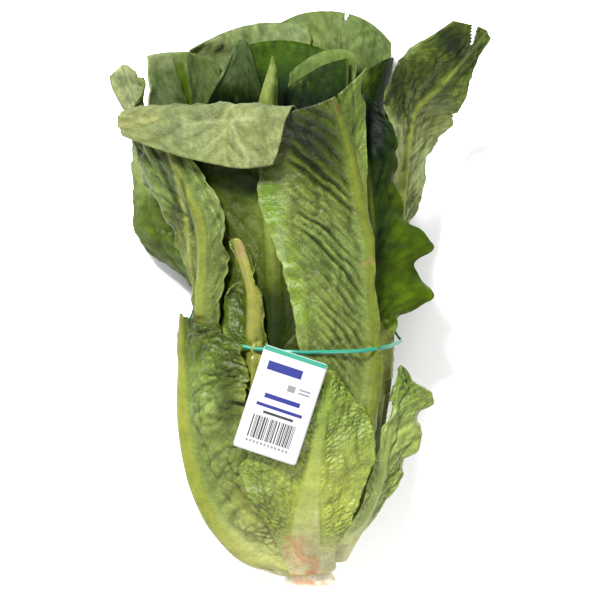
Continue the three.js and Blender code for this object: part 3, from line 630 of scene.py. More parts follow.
# the pale tip colour and the first shade are painted sheen on its upper part
look(
    "far_leaf_left", "leaf_dark", (57, 171), blade=(94, 114, 48), tip=(176, 186, 130), rib=(130, 146, 76),
    vein=(150, 168, 110), vein_show=0.75, edge=(92, 112, 44), veins=1.4, spacing=14, climb=0.5, groove=4,
    blisters=1.6, crumple=2.6, fold=22, ruffle=0.8, jag=0.02, jag_length=15, dark=0.5, patch=0.4,
    bites=((1, 0.96, 0.08, -0.8),),
    shades=[(-82, 135, 12, 18, 1.5), (-80, 92, 10, 16, 0.8)],
)
# its near-black strokes are painted shade in the gaps along its edges
look(
    "side_leaf_left", "leaf_side", (77, 201), blade=(128, 144, 78), tip=(118, 136, 70), rib=(150, 160, 72),
    rib_mm=[8, 6.5, 4.8, 3.6, 2.6, 1.4], rib_raise=0.5, vein=(160, 174, 110), veins=1.2, spacing=12,
    climb=1.3, blisters=1, blister=5, stretch=1.6, crumple=4.2, fold=15, long=1.7, ruffle=2.6,
    ruffle_length=15, jag=0.14, jag_length=11, dark=0.36, patch=0.4,
    shades=[
        (-48, 131, 8, 15, 1.4), (-66, 120, 5, 22, 0.5), (-48, 44, 18, 9, 0.55), (-60, 104, 12, 12, 0.7),
    ],
    strokes=[
        (-66, 130, -60, 106, 1.3, (168, 176, 96), 0.8), (-60, 106, -57, 64, 1.3, (160, 168, 84), 0.8),
        (-62, 128, -56, 100, 1, (44, 56, 22), 0.7), (-82, 152, -62, 108, 1.5, (34, 46, 16), 0.75),
        (-52, 146, -41, 116, 4.2, (156, 170, 104), 0.6), (-45, 148, -36, 118, 0.8, (60, 76, 30), 0.5),
    ],
)
# painted shade on its rolled top and in the dark notch left of its rib (the darkest shades and strokes); its
# light blade colour and the first stroke on its stalk are painted light on its shaded side
look(
    "flared_leaf_right", "leaf_side", (77, 211), blade=(164, 180, 108), tip=(98, 116, 50),
    rib=(144, 158, 66), rib_mm=[8, 7, 6, 5, 4.2, 3.4, 2.6, 1.8, 1], rib_raise=0.55, vein=(170, 182, 122),
    edge=(150, 166, 96), veins=1.4, spacing=10, climb=1.1, blisters=1.3, blister=5, crumple=2.4, fold=16,
    jag=0.06, jag_length=12, dark=0.34, patch=0.3, cuts=((105.8, 225.6, 102.9, 203.8, 3.4),),
    bites=((-1, 0.8, 0.065, -0.35),),
    shades=[
        (56, 128, 12, 26, 1.1), (76, 150, 7, 22, 1.15), (81, 193, 8, 8, 0.7), (91, 207, 11, 10, 0.24),
        (70, 188, 11, 14, 0.42), (88, 190, 9, 6, 1.3), (54, 150, 6, 16, 1.3), (59, 183, 6, 17, 0.22),
    ],
    strokes=[
        (52, 48, 50, -4, 4.5, (204, 214, 112), 0.8), (67, 170, 64, 134, 0.9, (44, 56, 24), 0.7),
        (59, 162, 59, 142, 4, (168, 182, 126), 0.6), (84, 214, 96, 200, 3.4, (44, 58, 24), 0.8),
        (74, 188, 86, 182, 1.4, (70, 86, 40), 0.6), (66, 178, 72, 176, 1, (168, 184, 72), 0.6),
        (59, 196, 62, 168, 7, (58, 70, 34), 0.8),
    ],
)
# the first shade is painted shade in the dark hollow beside it; the stroke is painted light on its shaded
# stalk
look(
    "waved_leaf_right", "leaf_dark", (69, 191), blade=(78, 102, 34), tip=(62, 80, 26), rib=(124, 142, 60),
    vein=(104, 126, 50), edge=(116, 140, 52), veins=0.8, spacing=15, blisters=0.4, blister=9, crumple=3,
    fold=20, ruffle=1.8, ruffle_length=14, jag=0.05, jag_length=12, dark=0.5, patch=0.16, sparkle=0.2,
    bites=((1, 0.66, 0.03, 0.2),),
    shades=[(47, 160, 11, 34, 0.25), (50, 95, 6, 26, 0.5), (64, 66, 8, 14, 1.25), (62, 118, 6, 14, 1.2)],
    strokes=[(52, 40, 50, -4, 4.5, (204, 214, 112), 0.8)],
)
# the leaves inside the crown: their dark blades, lighter towards the tips and darker with deep, are painted
# shade inside the head; their paler edges are painted light on the rims
look(
    "crown_leaf_left", "leaf_crown", (61, 131), blade=(70, 92, 44), tip=(118, 138, 82), rib=(112, 146, 36),
    rib_mm=[7, 6, 5, 4, 5], rib_at=[0, 0, 0, 3, 7], vein=(116, 138, 76), edge=(136, 154, 84), blisters=0.25,
    crumple=1.4, veins=0.5, spacing=14, deep=(150, 188, 0.4), bites=((1, 1, 0.05, 0.1),),
    push=(0.84, 0.08, 7),
    shades=[(-62, 180, 9, 26, 0.5), (-82, 190, 7, 22, 1.15)],
    strokes=[
        (-84, 200, -74, 201, 7, (160, 170, 116), 0.75), (-92, 177, -76, 178, 8, (132, 150, 106), 0.6),
        (-60, 195, -52, 190, 6, (114, 131, 84), 0.5),
    ],
)
look(
    "crown_leaf_back_left", "leaf_crown", (57, 121), blade=(90, 110, 50), tip=(134, 151, 98),
    rib=(116, 138, 66), rib_show=0.3, vein=(104, 128, 56), edge=(120, 142, 62), blisters=0.25, crumple=1.8,
    veins=0.6, deep=(170, 205, 0.3), jag=0.06,
)
look(
    "crown_leaf_back_right", "leaf_crown", (93, 181), blade=(84, 104, 44), tip=(110, 129, 74),
    rib=(122, 142, 72), rib_show=0.4, rib_mm=[7, 5, 3, 1, 0.4], vein=(136, 154, 86), edge=(130, 150, 78),
    veins=0.8, spacing=13, blisters=0.3, crumple=1.8, fold=20, jag=0.05, deep=(150, 200, 0.6),
    cuts=((32.4, 229.6, 30.2, 222.4, 1.3),),
    shades=[(47, 204, 9, 11, 0.62)],
)
look(
    "inner_leaf_pointed_left", "leaf_crown", (49, 111), blade=(46, 62, 34), tip=(104, 124, 80),
    rib=(86, 104, 60), rib_show=0.1, vein=(84, 102, 62), edge=(108, 130, 66), blisters=0.15, crumple=1.2,
    veins=0.3, deep=(172, 212, 0.12),
    strokes=[(-46, 201, -40, 193, 5, (126, 146, 96), 0.6)],
)
# a folded leaf: the shade on its right half is painted shade, the stroke on its left half painted light
look(
    "inner_leaf_pointed_middle", "leaf_crown", (37, 101), blade=(112, 134, 56), tip=(138, 158, 78),
    edge=(150, 168, 88), rib_show=0.3, blisters=0.2, deep=(160, 184, 0.5),
    shades=[(-9.5, 182, 4.2, 40, 0.3)],
    strokes=[(-12, 193, -16, 181, 3, (166, 178, 106), 0.7)],
)
look(
    "inner_leaf_right", "leaf_crown", (49, 101), blade=(42, 54, 12), tip=(56, 72, 16), edge=(110, 132, 58),
    rib_show=0, blisters=0.15, crumple=1, veins=0.3, deep=(160, 200, 0.3),
)
look(
    "inner_leaf_front", "leaf_crown", (29, 71), blade=(30, 40, 12), tip=(40, 52, 18), edge=(84, 102, 44),
    blisters=0.15, deep=(160, 190, 0.3),
)
look(
    "inner_leaf_back", "leaf_crown", (49, 101), blade=(34, 48, 12), tip=(68, 92, 26), edge=(92, 116, 42),
    rib_show=0, blisters=0.15, crumple=1.2, veins=0.4, deep=(182, 206, 0.25),
)
look(
    "crown_leaf_arc", "leaf_crown", (49, 101), blade=(60, 82, 30), tip=(110, 132, 72), edge=(142, 162, 98),
    rib_show=0.2, blisters=0.2, crumple=1.2, veins=0.4, deep=(174, 200, 0.35),
)
look(
    "crown_leaf_right", "leaf_crown", (49, 101), blade=(40, 52, 14), tip=(50, 64, 20), edge=(150, 170, 84),
    rib_show=0.1, blisters=0.2,
    strokes=[(36, 197, 42, 188, 4, (122, 140, 74), 0.6)],
)
look("back_leaf_left", "leaf_side", (37, 81))
look("back_leaf_right", "leaf_side", (37, 81), blade=(70, 88, 34), tip=(60, 76, 28))
look("back_leaf_middle", "leaf_side", (49, 101))
# dark blades: painted shade deep inside the head
for i in range(3):
    look(
        f"heart_leaf_{i + 1}", "leaf_heart", (25, 61), blade=(44, 58, 18), tip=(60, 78, 26), rib_show=0.2,
        blisters=0.2, crumple=0.3, ruffle=0.3, jag=0.02,
    )


# ---- relief and colour of the blades
RIGHT_SIDE = 11.5  # sets the noise of a leaf's right side apart from its left's
COVERED = (1, 3)  # from how far under another leaf the relief fades, in mm
RIB_SIDE, BLADE_SIDE = (0.75, 1.15), (0.9, 2.2)  # where the rib ends and the blade's relief grows, in ribs
BLADE_FOOT, RUFFLE_FOOT = (0.04, 0.22), (0.12, 0.3)  # where along the leaf the relief and the ruffle grow
TIP_COLOUR, EDGE_COLOUR, EDGE_SHOW = (0.6, 0.95), (0.94, 1), 0.55
FOOT_FILL, FOOT_END = 3.5, 0.07  # how much thicker a leaf's foot is, in mm, and where that ends
# waves of the veins in mm: a long bend, and a short one along and across
VEIN_BEND, VEIN_WIGGLE = 29, (11, 14)
VEIN_START, VEIN_REACH = 3.5, 5  # the veins' steeper start beside the rib
# patches in mm along and across: strong blisters, colour, flecks, warmer colour, streaks of the rib
BLISTERED, PATCHES, FLECKS, WARMER, STREAKS = (21, 21), (24, 18), (4.1, 3.1), (33, 27), (14, 0.9)
WARM = np.array([0.12, 0.02, -0.1])
STROKE_GRAIN = 3


def rough(f, size, kind, octaves=3, shift=0):
    """Rough noise over a leaf, its cells size mm along and across."""
    return rough_noise(f["run"] / size[0], f["across"] / size[1] + shift, f["seed"] + kind, octaves)


def on_sides(value, across):
    """A value for each side of the leaf, or one for both."""
    left, right = value if isinstance(value, tuple) else (value, value)
    return np.where(across < 0, left, right)


def within(v, span):
    """Where v is in the span, if there is one."""
    return (v >= span[0]) * (v <= span[1]) if span else 1


def to_line(where, x0, y0, x1, y1, first=-np.inf, last=np.inf):
    """How far along a line each place lies, kept between first and last, and how far off the line it is."""
    start, line = np.array([x0, y0]), np.array([x1 - x0, y1 - y0])
    t = np.clip((where - start) @ line / (line @ line), first, last)
    return t, np.linalg.norm(where - start - t[..., None] * line, axis=-1)


def uncut(where, cuts):
    """The cells that are left after wedges are torn out, each from an open end x, y to its point x, y."""
    middle = (where[:-1, :-1] + where[1:, 1:])[..., :2] / 2
    kept = np.ones(middle.shape[:2], bool)
    for *ends, half in cuts:
        t, off = to_line(middle, *ends)
        kept &= ~((t > -1) & (t < 1) & (off < half * (1 - t)))
    return kept


def leaf_surface(name, laid, seed):
    """The grid of a leaf's inner and outer faces before any relief, with what the relief and colour need."""
    spec, look = LEAVES[name], LOOKS[name]
    u0, v = leaf_grid(*look["grid"])
    length = np.linalg.norm(np.diff(point(*wanted(spec, 0 * v[:, 0], v[:, 0])), axis=0), axis=1)
    run = np.concatenate([[0], np.cumsum(length)])[:, None] + 0 * u0
    side = np.sign(u0)
    tooth = rough_noise(run / look["jag_length"], side * 7 + seed, seed)
    outer_half = smoothstep(0.4, 1, np.abs(u0))
    u = u0 * (1 + look["jag"] * tooth * smoothstep(0.08, 0.25, v) * outer_half)
    for bite_side, at, wide, deep in look["bites"]:
        u = u * (1 - deep * bell((v - at) / wide) * outer_half * (side == bite_side))
    across = u * half_width(spec, u, v) - along(look["rib_at"], v)
    return dict(
        name=name, spec=spec, look=look, seed=seed, u=u, v=v, run=run, across=across,
        inner=inner_face(spec, laid, u, v), out=outward(spec, laid, u, v),
        thick=mix(BLADE, thickness(spec, across, v), look["ridge"]),
    )


def steps_along(spacing, run, v):
    """How many spacings have passed at each point of a leaf's length."""
    return np.concatenate([[0], np.cumsum(np.diff(run) / along(spacing, v)[1:])])


def relief(f, cover):
    """How far the blade stands out along its normal, in mm, and the masks that its colour reads."""
    look, seed, u, v, run, across = (f[k] for k in ("look", "seed", "u", "v", "run", "across"))
    d = np.abs(across)
    half = np.maximum(0.3, along(look["rib_mm"], v))
    rib = 1 - smoothstep(*RIB_SIDE, d / half)
    blade = smoothstep(*BLADE_SIDE, d / half) * smoothstep(*BLADE_FOOT, v)
    side = np.where(across < 0, 0.0, RIGHT_SIDE)

    # side veins: grooves that leave the rib on a slant, bend, differ in depth and die out near the edge
    bend = 0.45 * noise(run / VEIN_BEND, side, seed + 5)
    bend += 0.3 * noise(run / VEIN_WIGGLE[0], d / VEIN_WIGGLE[1] + side, seed + 6)
    climb = on_sides(look["climb"], across) * d + VEIN_START * (1 - np.exp(-d / VEIN_REACH))
    phase = np.interp(run - climb, run[:, 0], steps_along(look["spacing"], run[:, 0], v[:, 0])) + bend + side
    tooth = np.abs(phase - np.floor(phase) - 0.5) * 2
    deep = 0.35 + 0.85 * chance(np.floor(phase + 0.5), side, seed + 7)
    deep *= 0.6 + 0.5 * smoothstep(-0.3, 0.3, noise(d / 13, phase * 0.9, seed + 8))
    deep *= 1 - 0.9 * smoothstep(look["vein_end"] - 0.2, look["vein_end"] + 0.08, np.abs(u))
    groove = np.clip(deep * tooth ** look["groove"], 0, 1)
    vein_high = on_sides(look["veins"], across) * along(look["vein_grow"], v)

    # blisters: large domes with small ones on them, stronger in patches
    size = look["blister"]
    wob = 0.35 * noise(run / 7, across / 7, seed + 9)
    dome = domes((run - climb) / size + wob, d / size / look["stretch"] + side + wob, seed + 11)
    small = domes((run - climb) / size * 2.1, d / size * 1.6 + side - wob, seed + 13)
    strength = 0.35 + 1.1 * smoothstep(-0.4, 0.5, rough(f, BLISTERED, 15, 2, 5))

    # crumpled folds and sharp creases
    fold, long = look["fold"], look["long"]
    big = rough(f, (fold * long, fold / long), 21, 3, 3)
    crease = 1 - smoothstep(0, 0.22, np.abs(rough(f, (1.3 * fold * long, 0.7 * fold / long), 23, 2, 9)))

    raised = look["blisters"] * strength * (0.6 * dome + 0.4 * small - 0.5) - vein_high * groove
    raised += look["crumple"] * (big - 0.4 * crease)
    rim = smoothstep(0.7, 1, np.abs(u))
    curl = 1.5 * rough_noise(run / look["ruffle_length"] * 1.7, np.sign(u) * 5, seed + 31, 2)
    raised = blade * raised * (1 - 0.3 * rim)
    raised += look["ruffle"] * rim * curl * smoothstep(*RUFFLE_FOOT, v)
    bulge = np.sqrt(np.maximum(0, 1 - (d / (1.1 * half)) ** 2))
    raised += look["rib_raise"] * half * bulge * smoothstep(0, 0.1, v) * along(look["rib_show"], v)
    raised *= 1 - 0.9 * cover
    at, wide, high = look["push"]
    raised += high * bell((v - at) / wide) * smoothstep(0.4, 1, u)

    # how high each point lies in its grooves, domes and creases; the colour darkens the low ones as painted
    # shade
    height = 1 - 0.75 * groove * np.minimum(1, vein_high) - 0.35 * (1 - dome) * np.minimum(1, strength)
    height = np.clip(height, 0, 1) * (1 - 0.35 * crease * np.minimum(1, look["crumple"] / 2))
    # crest and domes: where the colour puts painted highlight
    return raised, dict(
        rib=rib, blade=blade, groove=groove, height=mix(1, height, blade),
        crest=(1 - tooth) ** 1.5 * np.clip(deep, 0, 1) * blade,
        domes=(0.5 * dome + 0.5 * small - 0.5) * blade * np.minimum(1, strength),
    )


def colours(f, masks, where):
    """The planned colour of each point, with painted shade and painted light in it. where is its x and y in
    mm.
    """
    look, seed, v, u = (f[k] for k in ("look", "seed", "v", "u"))
    names = ("foot", "blade", "tip", "vein", "rib", "edge")
    foot, mid, tip, vein, rib, edge = (seen(*look[k]) for k in names)
    t = v[..., None]
    colour = mix(mix(foot, mid, smoothstep(0.02, look["pale"], t)), tip, smoothstep(*TIP_COLOUR, t))
    patch = rough(f, PATCHES, 41) + 0.5 * rough(f, FLECKS, 42, 2)
    colour = colour * (1 + look["patch"] * patch)[..., None]
    colour *= 1 + rough(f, WARMER, 44, 2, 4)[..., None] * WARM
    # painted shade: the grooves, creases and gaps between domes are darkened
    colour *= mix(look["dark"], 1.12, masks["height"])[..., None]
    line = smoothstep(0.5, 0.95, masks["groove"]) * masks["blade"] * look["vein_show"]
    colour = mix(colour, vein, line[..., None])
    # painted highlight on crests and dome tops, and painted shade between the domes
    colour *= (1 + look["crest"] * masks["crest"] + look["sparkle"] * masks["domes"])[..., None]
    streaked = mix(foot, rib, smoothstep(0.05, 0.35, t)) * (1 + 0.1 * rough(f, STREAKS, 46, 2)[..., None])
    colour = mix(colour, streaked, (masks["rib"] * along(look["rib_show"], v))[..., None])
    rim = smoothstep(*EDGE_COLOUR, np.abs(u)) * EDGE_SHOW * smoothstep(0.1, 0.3, v)
    colour = mix(colour, edge, rim[..., None])
    x, y = where[..., 0], where[..., 1]
    # painted shade inside the head: darker below the given y
    low, high, least = look["deep"]
    colour *= mix(least, 1, smoothstep(low, high, y))[..., None]
    # shades: patches of painted shade and painted light, with some colour the leaf has
    for at_x, at_y, wide, long, factor, *span in look["shades"]:
        near = bell(np.hypot((x - at_x) / wide, (y - at_y) / long)) * within(v, span)
        colour *= mix(1, factor, near)[..., None]
    # strokes: stains and pale ribs, and painted shadows and lit strips
    for x0, y0, x1, y1, half, paint, amount, *span in look["strokes"]:
        off = to_line(where[..., :2], x0, y0, x1, y1, 0, 1)[1]
        off = off * (1 + 0.9 * rough_noise(x / STROKE_GRAIN, y / STROKE_GRAIN, seed + 48, 2))
        near = amount * bell(off / half) * within(v, span)
        colour = mix(colour, seen(*paint), near[..., None])
    return under_shine(colour)


# ---- meshes
def make_mesh(name, points, faces, colour=None, flat=None, smooth=True):
    """A mesh from points in mm, with its planned colour and the place in the flat that its texture reads."""
    mesh = bpy.data.meshes.new(name)
    mesh.from_pydata((points.reshape(-1, 3) * MM).tolist(), [], faces)
    mesh.validate()
    mesh.polygons.foreach_set("use_smooth", np.full(len(mesh.polygons), smooth))
    if colour is not None:
        mesh.attributes.new("tint", "FLOAT_COLOR", "POINT").data.foreach_set("color", colour.ravel())
        mesh.attributes.new("flat", "FLOAT_VECTOR", "POINT").data.foreach_set("vector", flat.ravel())
    return mesh


def sheet_faces(keep):
    """The faces of a closed sheet between two grids of points. keep says which cells are there."""
    rows, columns = keep.shape[0] + 1, keep.shape[1] + 1
    count = rows * columns
    index = np.arange(count).reshape(rows, columns)
    a, b, c, d = index[:-1, :-1], index[:-1, 1:], index[1:, 1:], index[1:, :-1]
    faces = [np.stack([a, b, c, d], -1)[keep] + count, np.stack([a, d, c, b], -1)[keep]]
    padded = np.pad(keep, 1)
    for (p, q), (dj, di) in (((a, b), (-1, 0)), ((b, c), (0, 1)), ((c, d), (1, 0)), ((d, a), (0, -1))):
        gone = ~padded[1 + dj : rows + dj, 1 + di : columns + di]
        faces.append(np.stack([p, q, q + count, p + count], -1)[keep & gone])
    return np.concatenate(faces)


def sheet_mesh(name, inner, outer, colour, wrinkled, flat, keep):
    """A closed sheet with the points that its kept cells use."""
    used, faces = np.unique(sheet_faces(keep), return_inverse=True)
    rgba = np.concatenate([colour, wrinkled[..., None]], axis=-1).reshape(-1, 4)
    points, rgba, flat = (
        np.concatenate(pair)[used]
        for pair in ((inner.reshape(-1, 3), outer.reshape(-1, 3)), (rgba, rgba), [flat.reshape(-1, 3)] * 2)
    )
    return make_mesh(name, points, faces.reshape(-1, 4).tolist(), rgba, flat)


def tube_faces(rows, columns):
    """The faces of a tube, row by row. The last row's join it to the first row."""
    index = np.arange(rows * columns).reshape(rows, columns)
    turn = np.roll(index, -1, axis=1)
    return np.stack([index, turn, np.roll(turn, -1, axis=0), np.roll(index, -1, axis=0)], -1)


def shown(name, data):
    """An object in the scene with this data."""
    thing = bpy.data.objects.new(name, data)
    bpy.context.scene.collection.objects.link(thing)
    return thing


def place(mesh, material, node=None):
    """Put a mesh in the scene as a piece, in place of a CAD node if it stands for one."""
    piece = shown(mesh.name, mesh)
    mesh.materials.append(material)
    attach(piece, "root")
    if node:
        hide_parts(node)


# ---- materials
def feed(material, node, inputs):
    """Link or set a shader node's inputs."""
    for name, value in inputs.items():
        if isinstance(value, bpy.types.NodeSocket):
            material.node_tree.links.new(value, node.inputs[name])
        else:
            node.inputs[name].default_value = value


def add(material, kind, inputs, output, **settings):
    """Add a shader node to a material and return its output."""
    node = material.node_tree.nodes.new("ShaderNode" + kind)
    for name, value in settings.items():
        setattr(node, name, value)
    feed(material, node, inputs)
    return node.outputs[output]


def new_material(name):
    material = bpy.data.materials.new(name)
    material.use_nodes = True
    return material, material.node_tree.nodes["Principled BSDF"]


def ranged(material, value, start, end, low, high):
    """Low to high as the value goes from start to end."""
    inputs = {"Value": value, "From Min": start, "From Max": end, "To Min": low, "To Max": high}
    return add(material, "MapRange", inputs, "Result")


def grained(material, where, scale, detail):
    return add(material, "TexNoise", {"Vector": where, "Scale": scale, "Detail": detail}, "Fac")


def times(material, a, b):
    return add(material, "Math", {0: a, 1: b}, "Value", operation="MULTIPLY")


def scaled(material, colour, factor):
    return add(material, "VectorMath", {"Vector": colour, "Scale": factor}, "Vector", operation="SCALE")


def bumped(material, height, strength, distance, **below):
    """The normal with a relief of this height in metres, over the relief below."""
    inputs = {"Height": height, "Strength": strength, "Distance": distance, **below}
    return add(material, "Bump", inputs, "Normal")


VEIN_LINE = 0.16  # how wide the net's veins are, in its cells
BLOTCH_SCALE = 0.16
NET_DEPTH, GRAIN_DEPTH = 0.0004, 0.0009
SOFT_REACH, SOFT_SCALE = (0.6, 1.0, 0.3), 0.0015


def leaf_material(slot, roughness, wrinkle, net, soft, bumpy=1.0, shine=0.2):
    """A leaf's surface: planned colours, a net of fine veins and wrinkles, and a soft shine."""
    material, shader = new_material(slot)
    tint = add(material, "Attribute", {}, "Color", attribute_name="tint")
    wrinkled = tint.node.outputs["Alpha"]
    flat = add(material, "Attribute", {}, "Vector", attribute_name="flat")
    cell = {"Vector": flat, "Scale": 1 / net}
    off_vein = add(material, "TexVoronoi", cell, "Distance", feature="DISTANCE_TO_EDGE")
    line = ranged(material, off_vein, 0, VEIN_LINE, 0, 1)
    grain = grained(material, flat, 1 / wrinkle, 3)
    blotch = ranged(material, grained(material, flat, BLOTCH_SCALE, 4), 0.3, 0.7, 0.86, 1.14)
    shade = times(material, blotch, ranged(material, line, 0, 1, 1.14, 0.98))
    net_bump = bumped(material, line, times(material, wrinkled, 0.3 * bumpy), NET_DEPTH)
    grain_strength = times(material, wrinkled, 0.7 * bumpy)
    feed(material, shader, {
        "Base Color": scaled(material, tint, shade),
        "Roughness": ranged(material, grain, 0, 1, roughness - 0.09, roughness + 0.13),
        "Normal": bumped(material, grain, grain_strength, GRAIN_DEPTH, Normal=net_bump),
        "Subsurface Weight": soft,
        "Subsurface Radius": SOFT_REACH,
        "Subsurface Scale": SOFT_SCALE,
        "Specular IOR Level": shine,
    })
    return material


def plastic(name, colour, roughness, grain, depth):
    """A smooth surface of one colour with a fine grain."""
    material, shader = new_material(name)
    where = add(material, "TexCoord", {}, "Object")
    texture = grained(material, where, grain, 3)
    feed(material, shader, {
        "Base Color": scaled(material, under_shine(colour), ranged(material, texture, 0, 1, 0.93, 1.05)),
        "Roughness": roughness,
        "Normal": bumped(material, texture, 0.4, depth),
    })
    return material


# roughness, wrinkle and net size in mm, softness, bump strength and shine of each kind of leaf
LEAF_MATERIALS = {
    slot: leaf_material(slot, *values)
    for slot, values in {
        "leaf_front": (0.4, 2.2, 3.2, 0.15, 0.8, 0.2),
        "leaf_young": (0.34, 1.5, 3.0, 0.2, 1.2, 0.3),
        "leaf_fold": (0.5, 1.8, 3.4, 0.1, 0.8, 0.12),
        "leaf_side": (0.42, 2.0, 3.4, 0.12, 0.9, 0.16),
        "leaf_dark": (0.46, 2.2, 4.2, 0.08, 0.6, 0.05),
        "leaf_crown": (0.5, 2.0, 3.8, 0.1, 0.35, 0.05),
        "leaf_heart": (0.42, 1.8, 3.4, 0.15),
    }.items()
}


# ---- the tie's path
def tie_loop(laid):
    """The tie's path: the angle, the ray in the x-z plane and how far out it lies."""
    phi = 2 * np.pi * np.arange(TIE_POINTS) / TIE_POINTS - np.pi
    raw = point(tie_s(phi), phi, laid.at(tie_s(phi), phi) + TIE_CLEAR)
    flat = np.stack([raw[:, 0], raw[:, 2] - AXIS_HEIGHT], axis=1)
    corners = flat[convex_hull_2d([tuple(p) for p in flat.tolist()])]
    rays = unit(flat)
    edges = np.roll(corners, -1, axis=0) - corners
    reach = []
    for ray in rays:
        across = ray[0] * edges[:, 1] - ray[1] * edges[:, 0]
        t = (corners[:, 0] * edges[:, 1] - corners[:, 1] * edges[:, 0]) / across
        k = (corners[:, 0] * ray[1] - corners[:, 1] * ray[0]) / across
        reach.append(t[(t > 0) & (k >= -1e-9) & (k <= 1 + 1e-9)].max())
    return phi, rays, np.array(reach)


def lay_tie(loop, laid):
    phi, rays, reach = loop
    r = reach + TIE_THICK
    for side in (-1, 0, 1):
        y = tie_s(phi) - REST_S + side * TIE_WIDTH
        laid.add(np.stack([rays[:, 0] * r, y, AXIS_HEIGHT + rays[:, 1] * r], axis=1))
    laid.smooth()


# ---- the leaves, laid down one over another
laid = Laid()
surfaces = []
for number, name in enumerate(LEAVES):
    if name == FIRST_OVER_TIE:
        tie = tie_loop(laid)
        lay_tie(tie, laid)
    surfaces.append(leaf_surface(name, laid, 100 * number + 7))
    lay_down(LEAVES[name], laid)

top = laid.reach
for f in surfaces:
    s, phi, rho = terms(f["inner"] + f["out"] * f["thick"][..., None])
    cover = smoothstep(*COVERED, laid.at(s, phi, top) - rho)
    cover = np.where(f["v"] > f["spec"]["free"], 0, cover)
    raised, masks = relief(f, cover)
    foot_fill = FOOT_FILL * (1 - smoothstep(0, FOOT_END, f["v"]))
    outer = f["inner"] + f["out"] * (f["thick"] + raised)[..., None]
    inner = f["inner"] + f["out"] * (raised - foot_fill)[..., None]
    for face in (outer, inner):
        face[..., 2] = np.maximum(face[..., 2], FLOOR_CLEAR)
    flat = np.stack([f["across"], f["run"], np.full(f["run"].shape, f["seed"] * 1.0)], axis=-1)
    kept = uncut(outer, f["look"]["cuts"])
    slot = f["look"]["slot"]
    tint = colours(f, masks, outer)
    mesh = sheet_mesh("fine_" + f["name"], inner, outer, tint, 1 - 0.85 * masks["rib"], flat, kept)
    place(mesh, LEAF_MATERIALS[slot], f["name"])


# ---- stem: the distance along and out of the rings of its skin, from the middle of the cut face inward
STEM_TURNS = 96
STEM_RINGS = [
    (0.9, 0.01), (0.6, 3), (0.5, 6), (0.25, 9), (0.1, 12), (0, 14.5), (0.1, 16.6), (0.6, 18.4), (1.4, 19.3),
    (2.5, 19.4), (3.5, 19), (5, 18.2), (7, 16.6), (9, 15), (12, 13.6), (16, 12.5), (30, 11), (60, 6),
    (79, 0.01),
]
CUT_FACE = 2  # the skin up to here is the cut face
SIDE_END = 12
CREAM, TAN, PINK = seen(255, 248, 222), seen(240, 200, 150), seen(255, 172, 120)

s, r = (np.repeat(values, STEM_TURNS).reshape(-1, STEM_TURNS) for values in zip(*STEM_RINGS))
phi = 2 * np.pi * np.arange(STEM_TURNS) / STEM_TURNS + 0 * s
x, y = np.cos(phi), np.sin(phi)
on_side = smoothstep(13, 18, r) * (s < SIDE_END)
r = r * (1 + 0.05 * rough_noise(x * 3 + s / 6, y * 3 + s / 9, 901) * on_side)
s = s + 0.5 * rough_noise(r * x / 6, r * y / 6, 905) * (s < CUT_FACE)
stain = smoothstep(-0.1, 0.5, rough_noise(phi * 1.9, s / 5, 911))
ring = bell((r - 15) / 2.2) * (s < CUT_FACE)
tone = mix(CREAM, PINK, (0.75 * stain * on_side)[..., None])
tone = mix(tone, TAN, 0.55 * ring[..., None])
# painted light: the side of the stem, turned away from the key light, is made lighter
tone = tone * (1 + 0.8 * on_side)[..., None]
tone = tone * (1 + 0.08 * rough_noise(r * x / 2, r * y / 2, 915))[..., None]
rgba = np.concatenate([under_shine(tone), np.ones(s.shape + (1,))], axis=-1)
rings = tube_faces(*s.shape)
first, last = rings[0, :, 0], rings[-1, :, 0]
faces = rings[:-1].reshape(-1, 4).tolist() + [first[::-1].tolist(), last.tolist()]
skin = point(np.maximum(s, 0), phi, r)
mesh = make_mesh("fine_stem", skin, faces, rgba, np.stack([r * x, r * y, s], axis=-1))
place(mesh, leaf_material("stem", 0.45, 0.9, 1.8, 0.2), "stem")

# ---- tie
TIE_FINE = 384
TIE_ROUND = 12
TIE_HALF_WIDTH = 1.15
TIE_HALF_THICK = 0.42
TIE_WIRE = 0.35
TIE_SWAY = 0.25
TEAL = seen(58, 176, 146)

phi, rays, reach = tie
r = reach + TIE_THICK / 2
line = np.stack([rays[:, 0] * r, tie_s(phi) - REST_S, AXIS_HEIGHT + rays[:, 1] * r], axis=1)
t = np.arange(TIE_FINE) / TIE_FINE
ray = unit(round_loop(np.stack([rays[:, 0], 0 * phi, rays[:, 1]], axis=1), t))
ahead = unit(round_loop(line, t + 0.2 / TIE_FINE) - round_loop(line, t - 0.2 / TIE_FINE))
side = np.cross(ahead, ray)
ray = np.cross(side, ahead)
turn = 2 * np.pi * np.arange(TIE_ROUND) / TIE_ROUND
over = np.sin(turn) * (TIE_HALF_THICK + TIE_WIRE * np.abs(np.sin(turn)) ** 6)
sway = TIE_SWAY * noise(np.cos(2 * np.pi * t) * 9, np.sin(2 * np.pi * t) * 9, 921)[:, None]
points = (
    round_loop(line, t)[:, None]
    + side[:, None] * (np.cos(turn) * TIE_HALF_WIDTH + sway)[..., None]
    + ray[:, None] * over[None, :, None]
)
points[..., 2] = np.maximum(points[..., 2], FLOOR_CLEAR)
mesh = make_mesh("fine_twist_tie", points, tube_faces(TIE_FINE, TIE_ROUND).reshape(-1, 4).tolist())
place(mesh, plastic("tie", TEAL, 0.32, 900, 0.0002), "twist_tie")

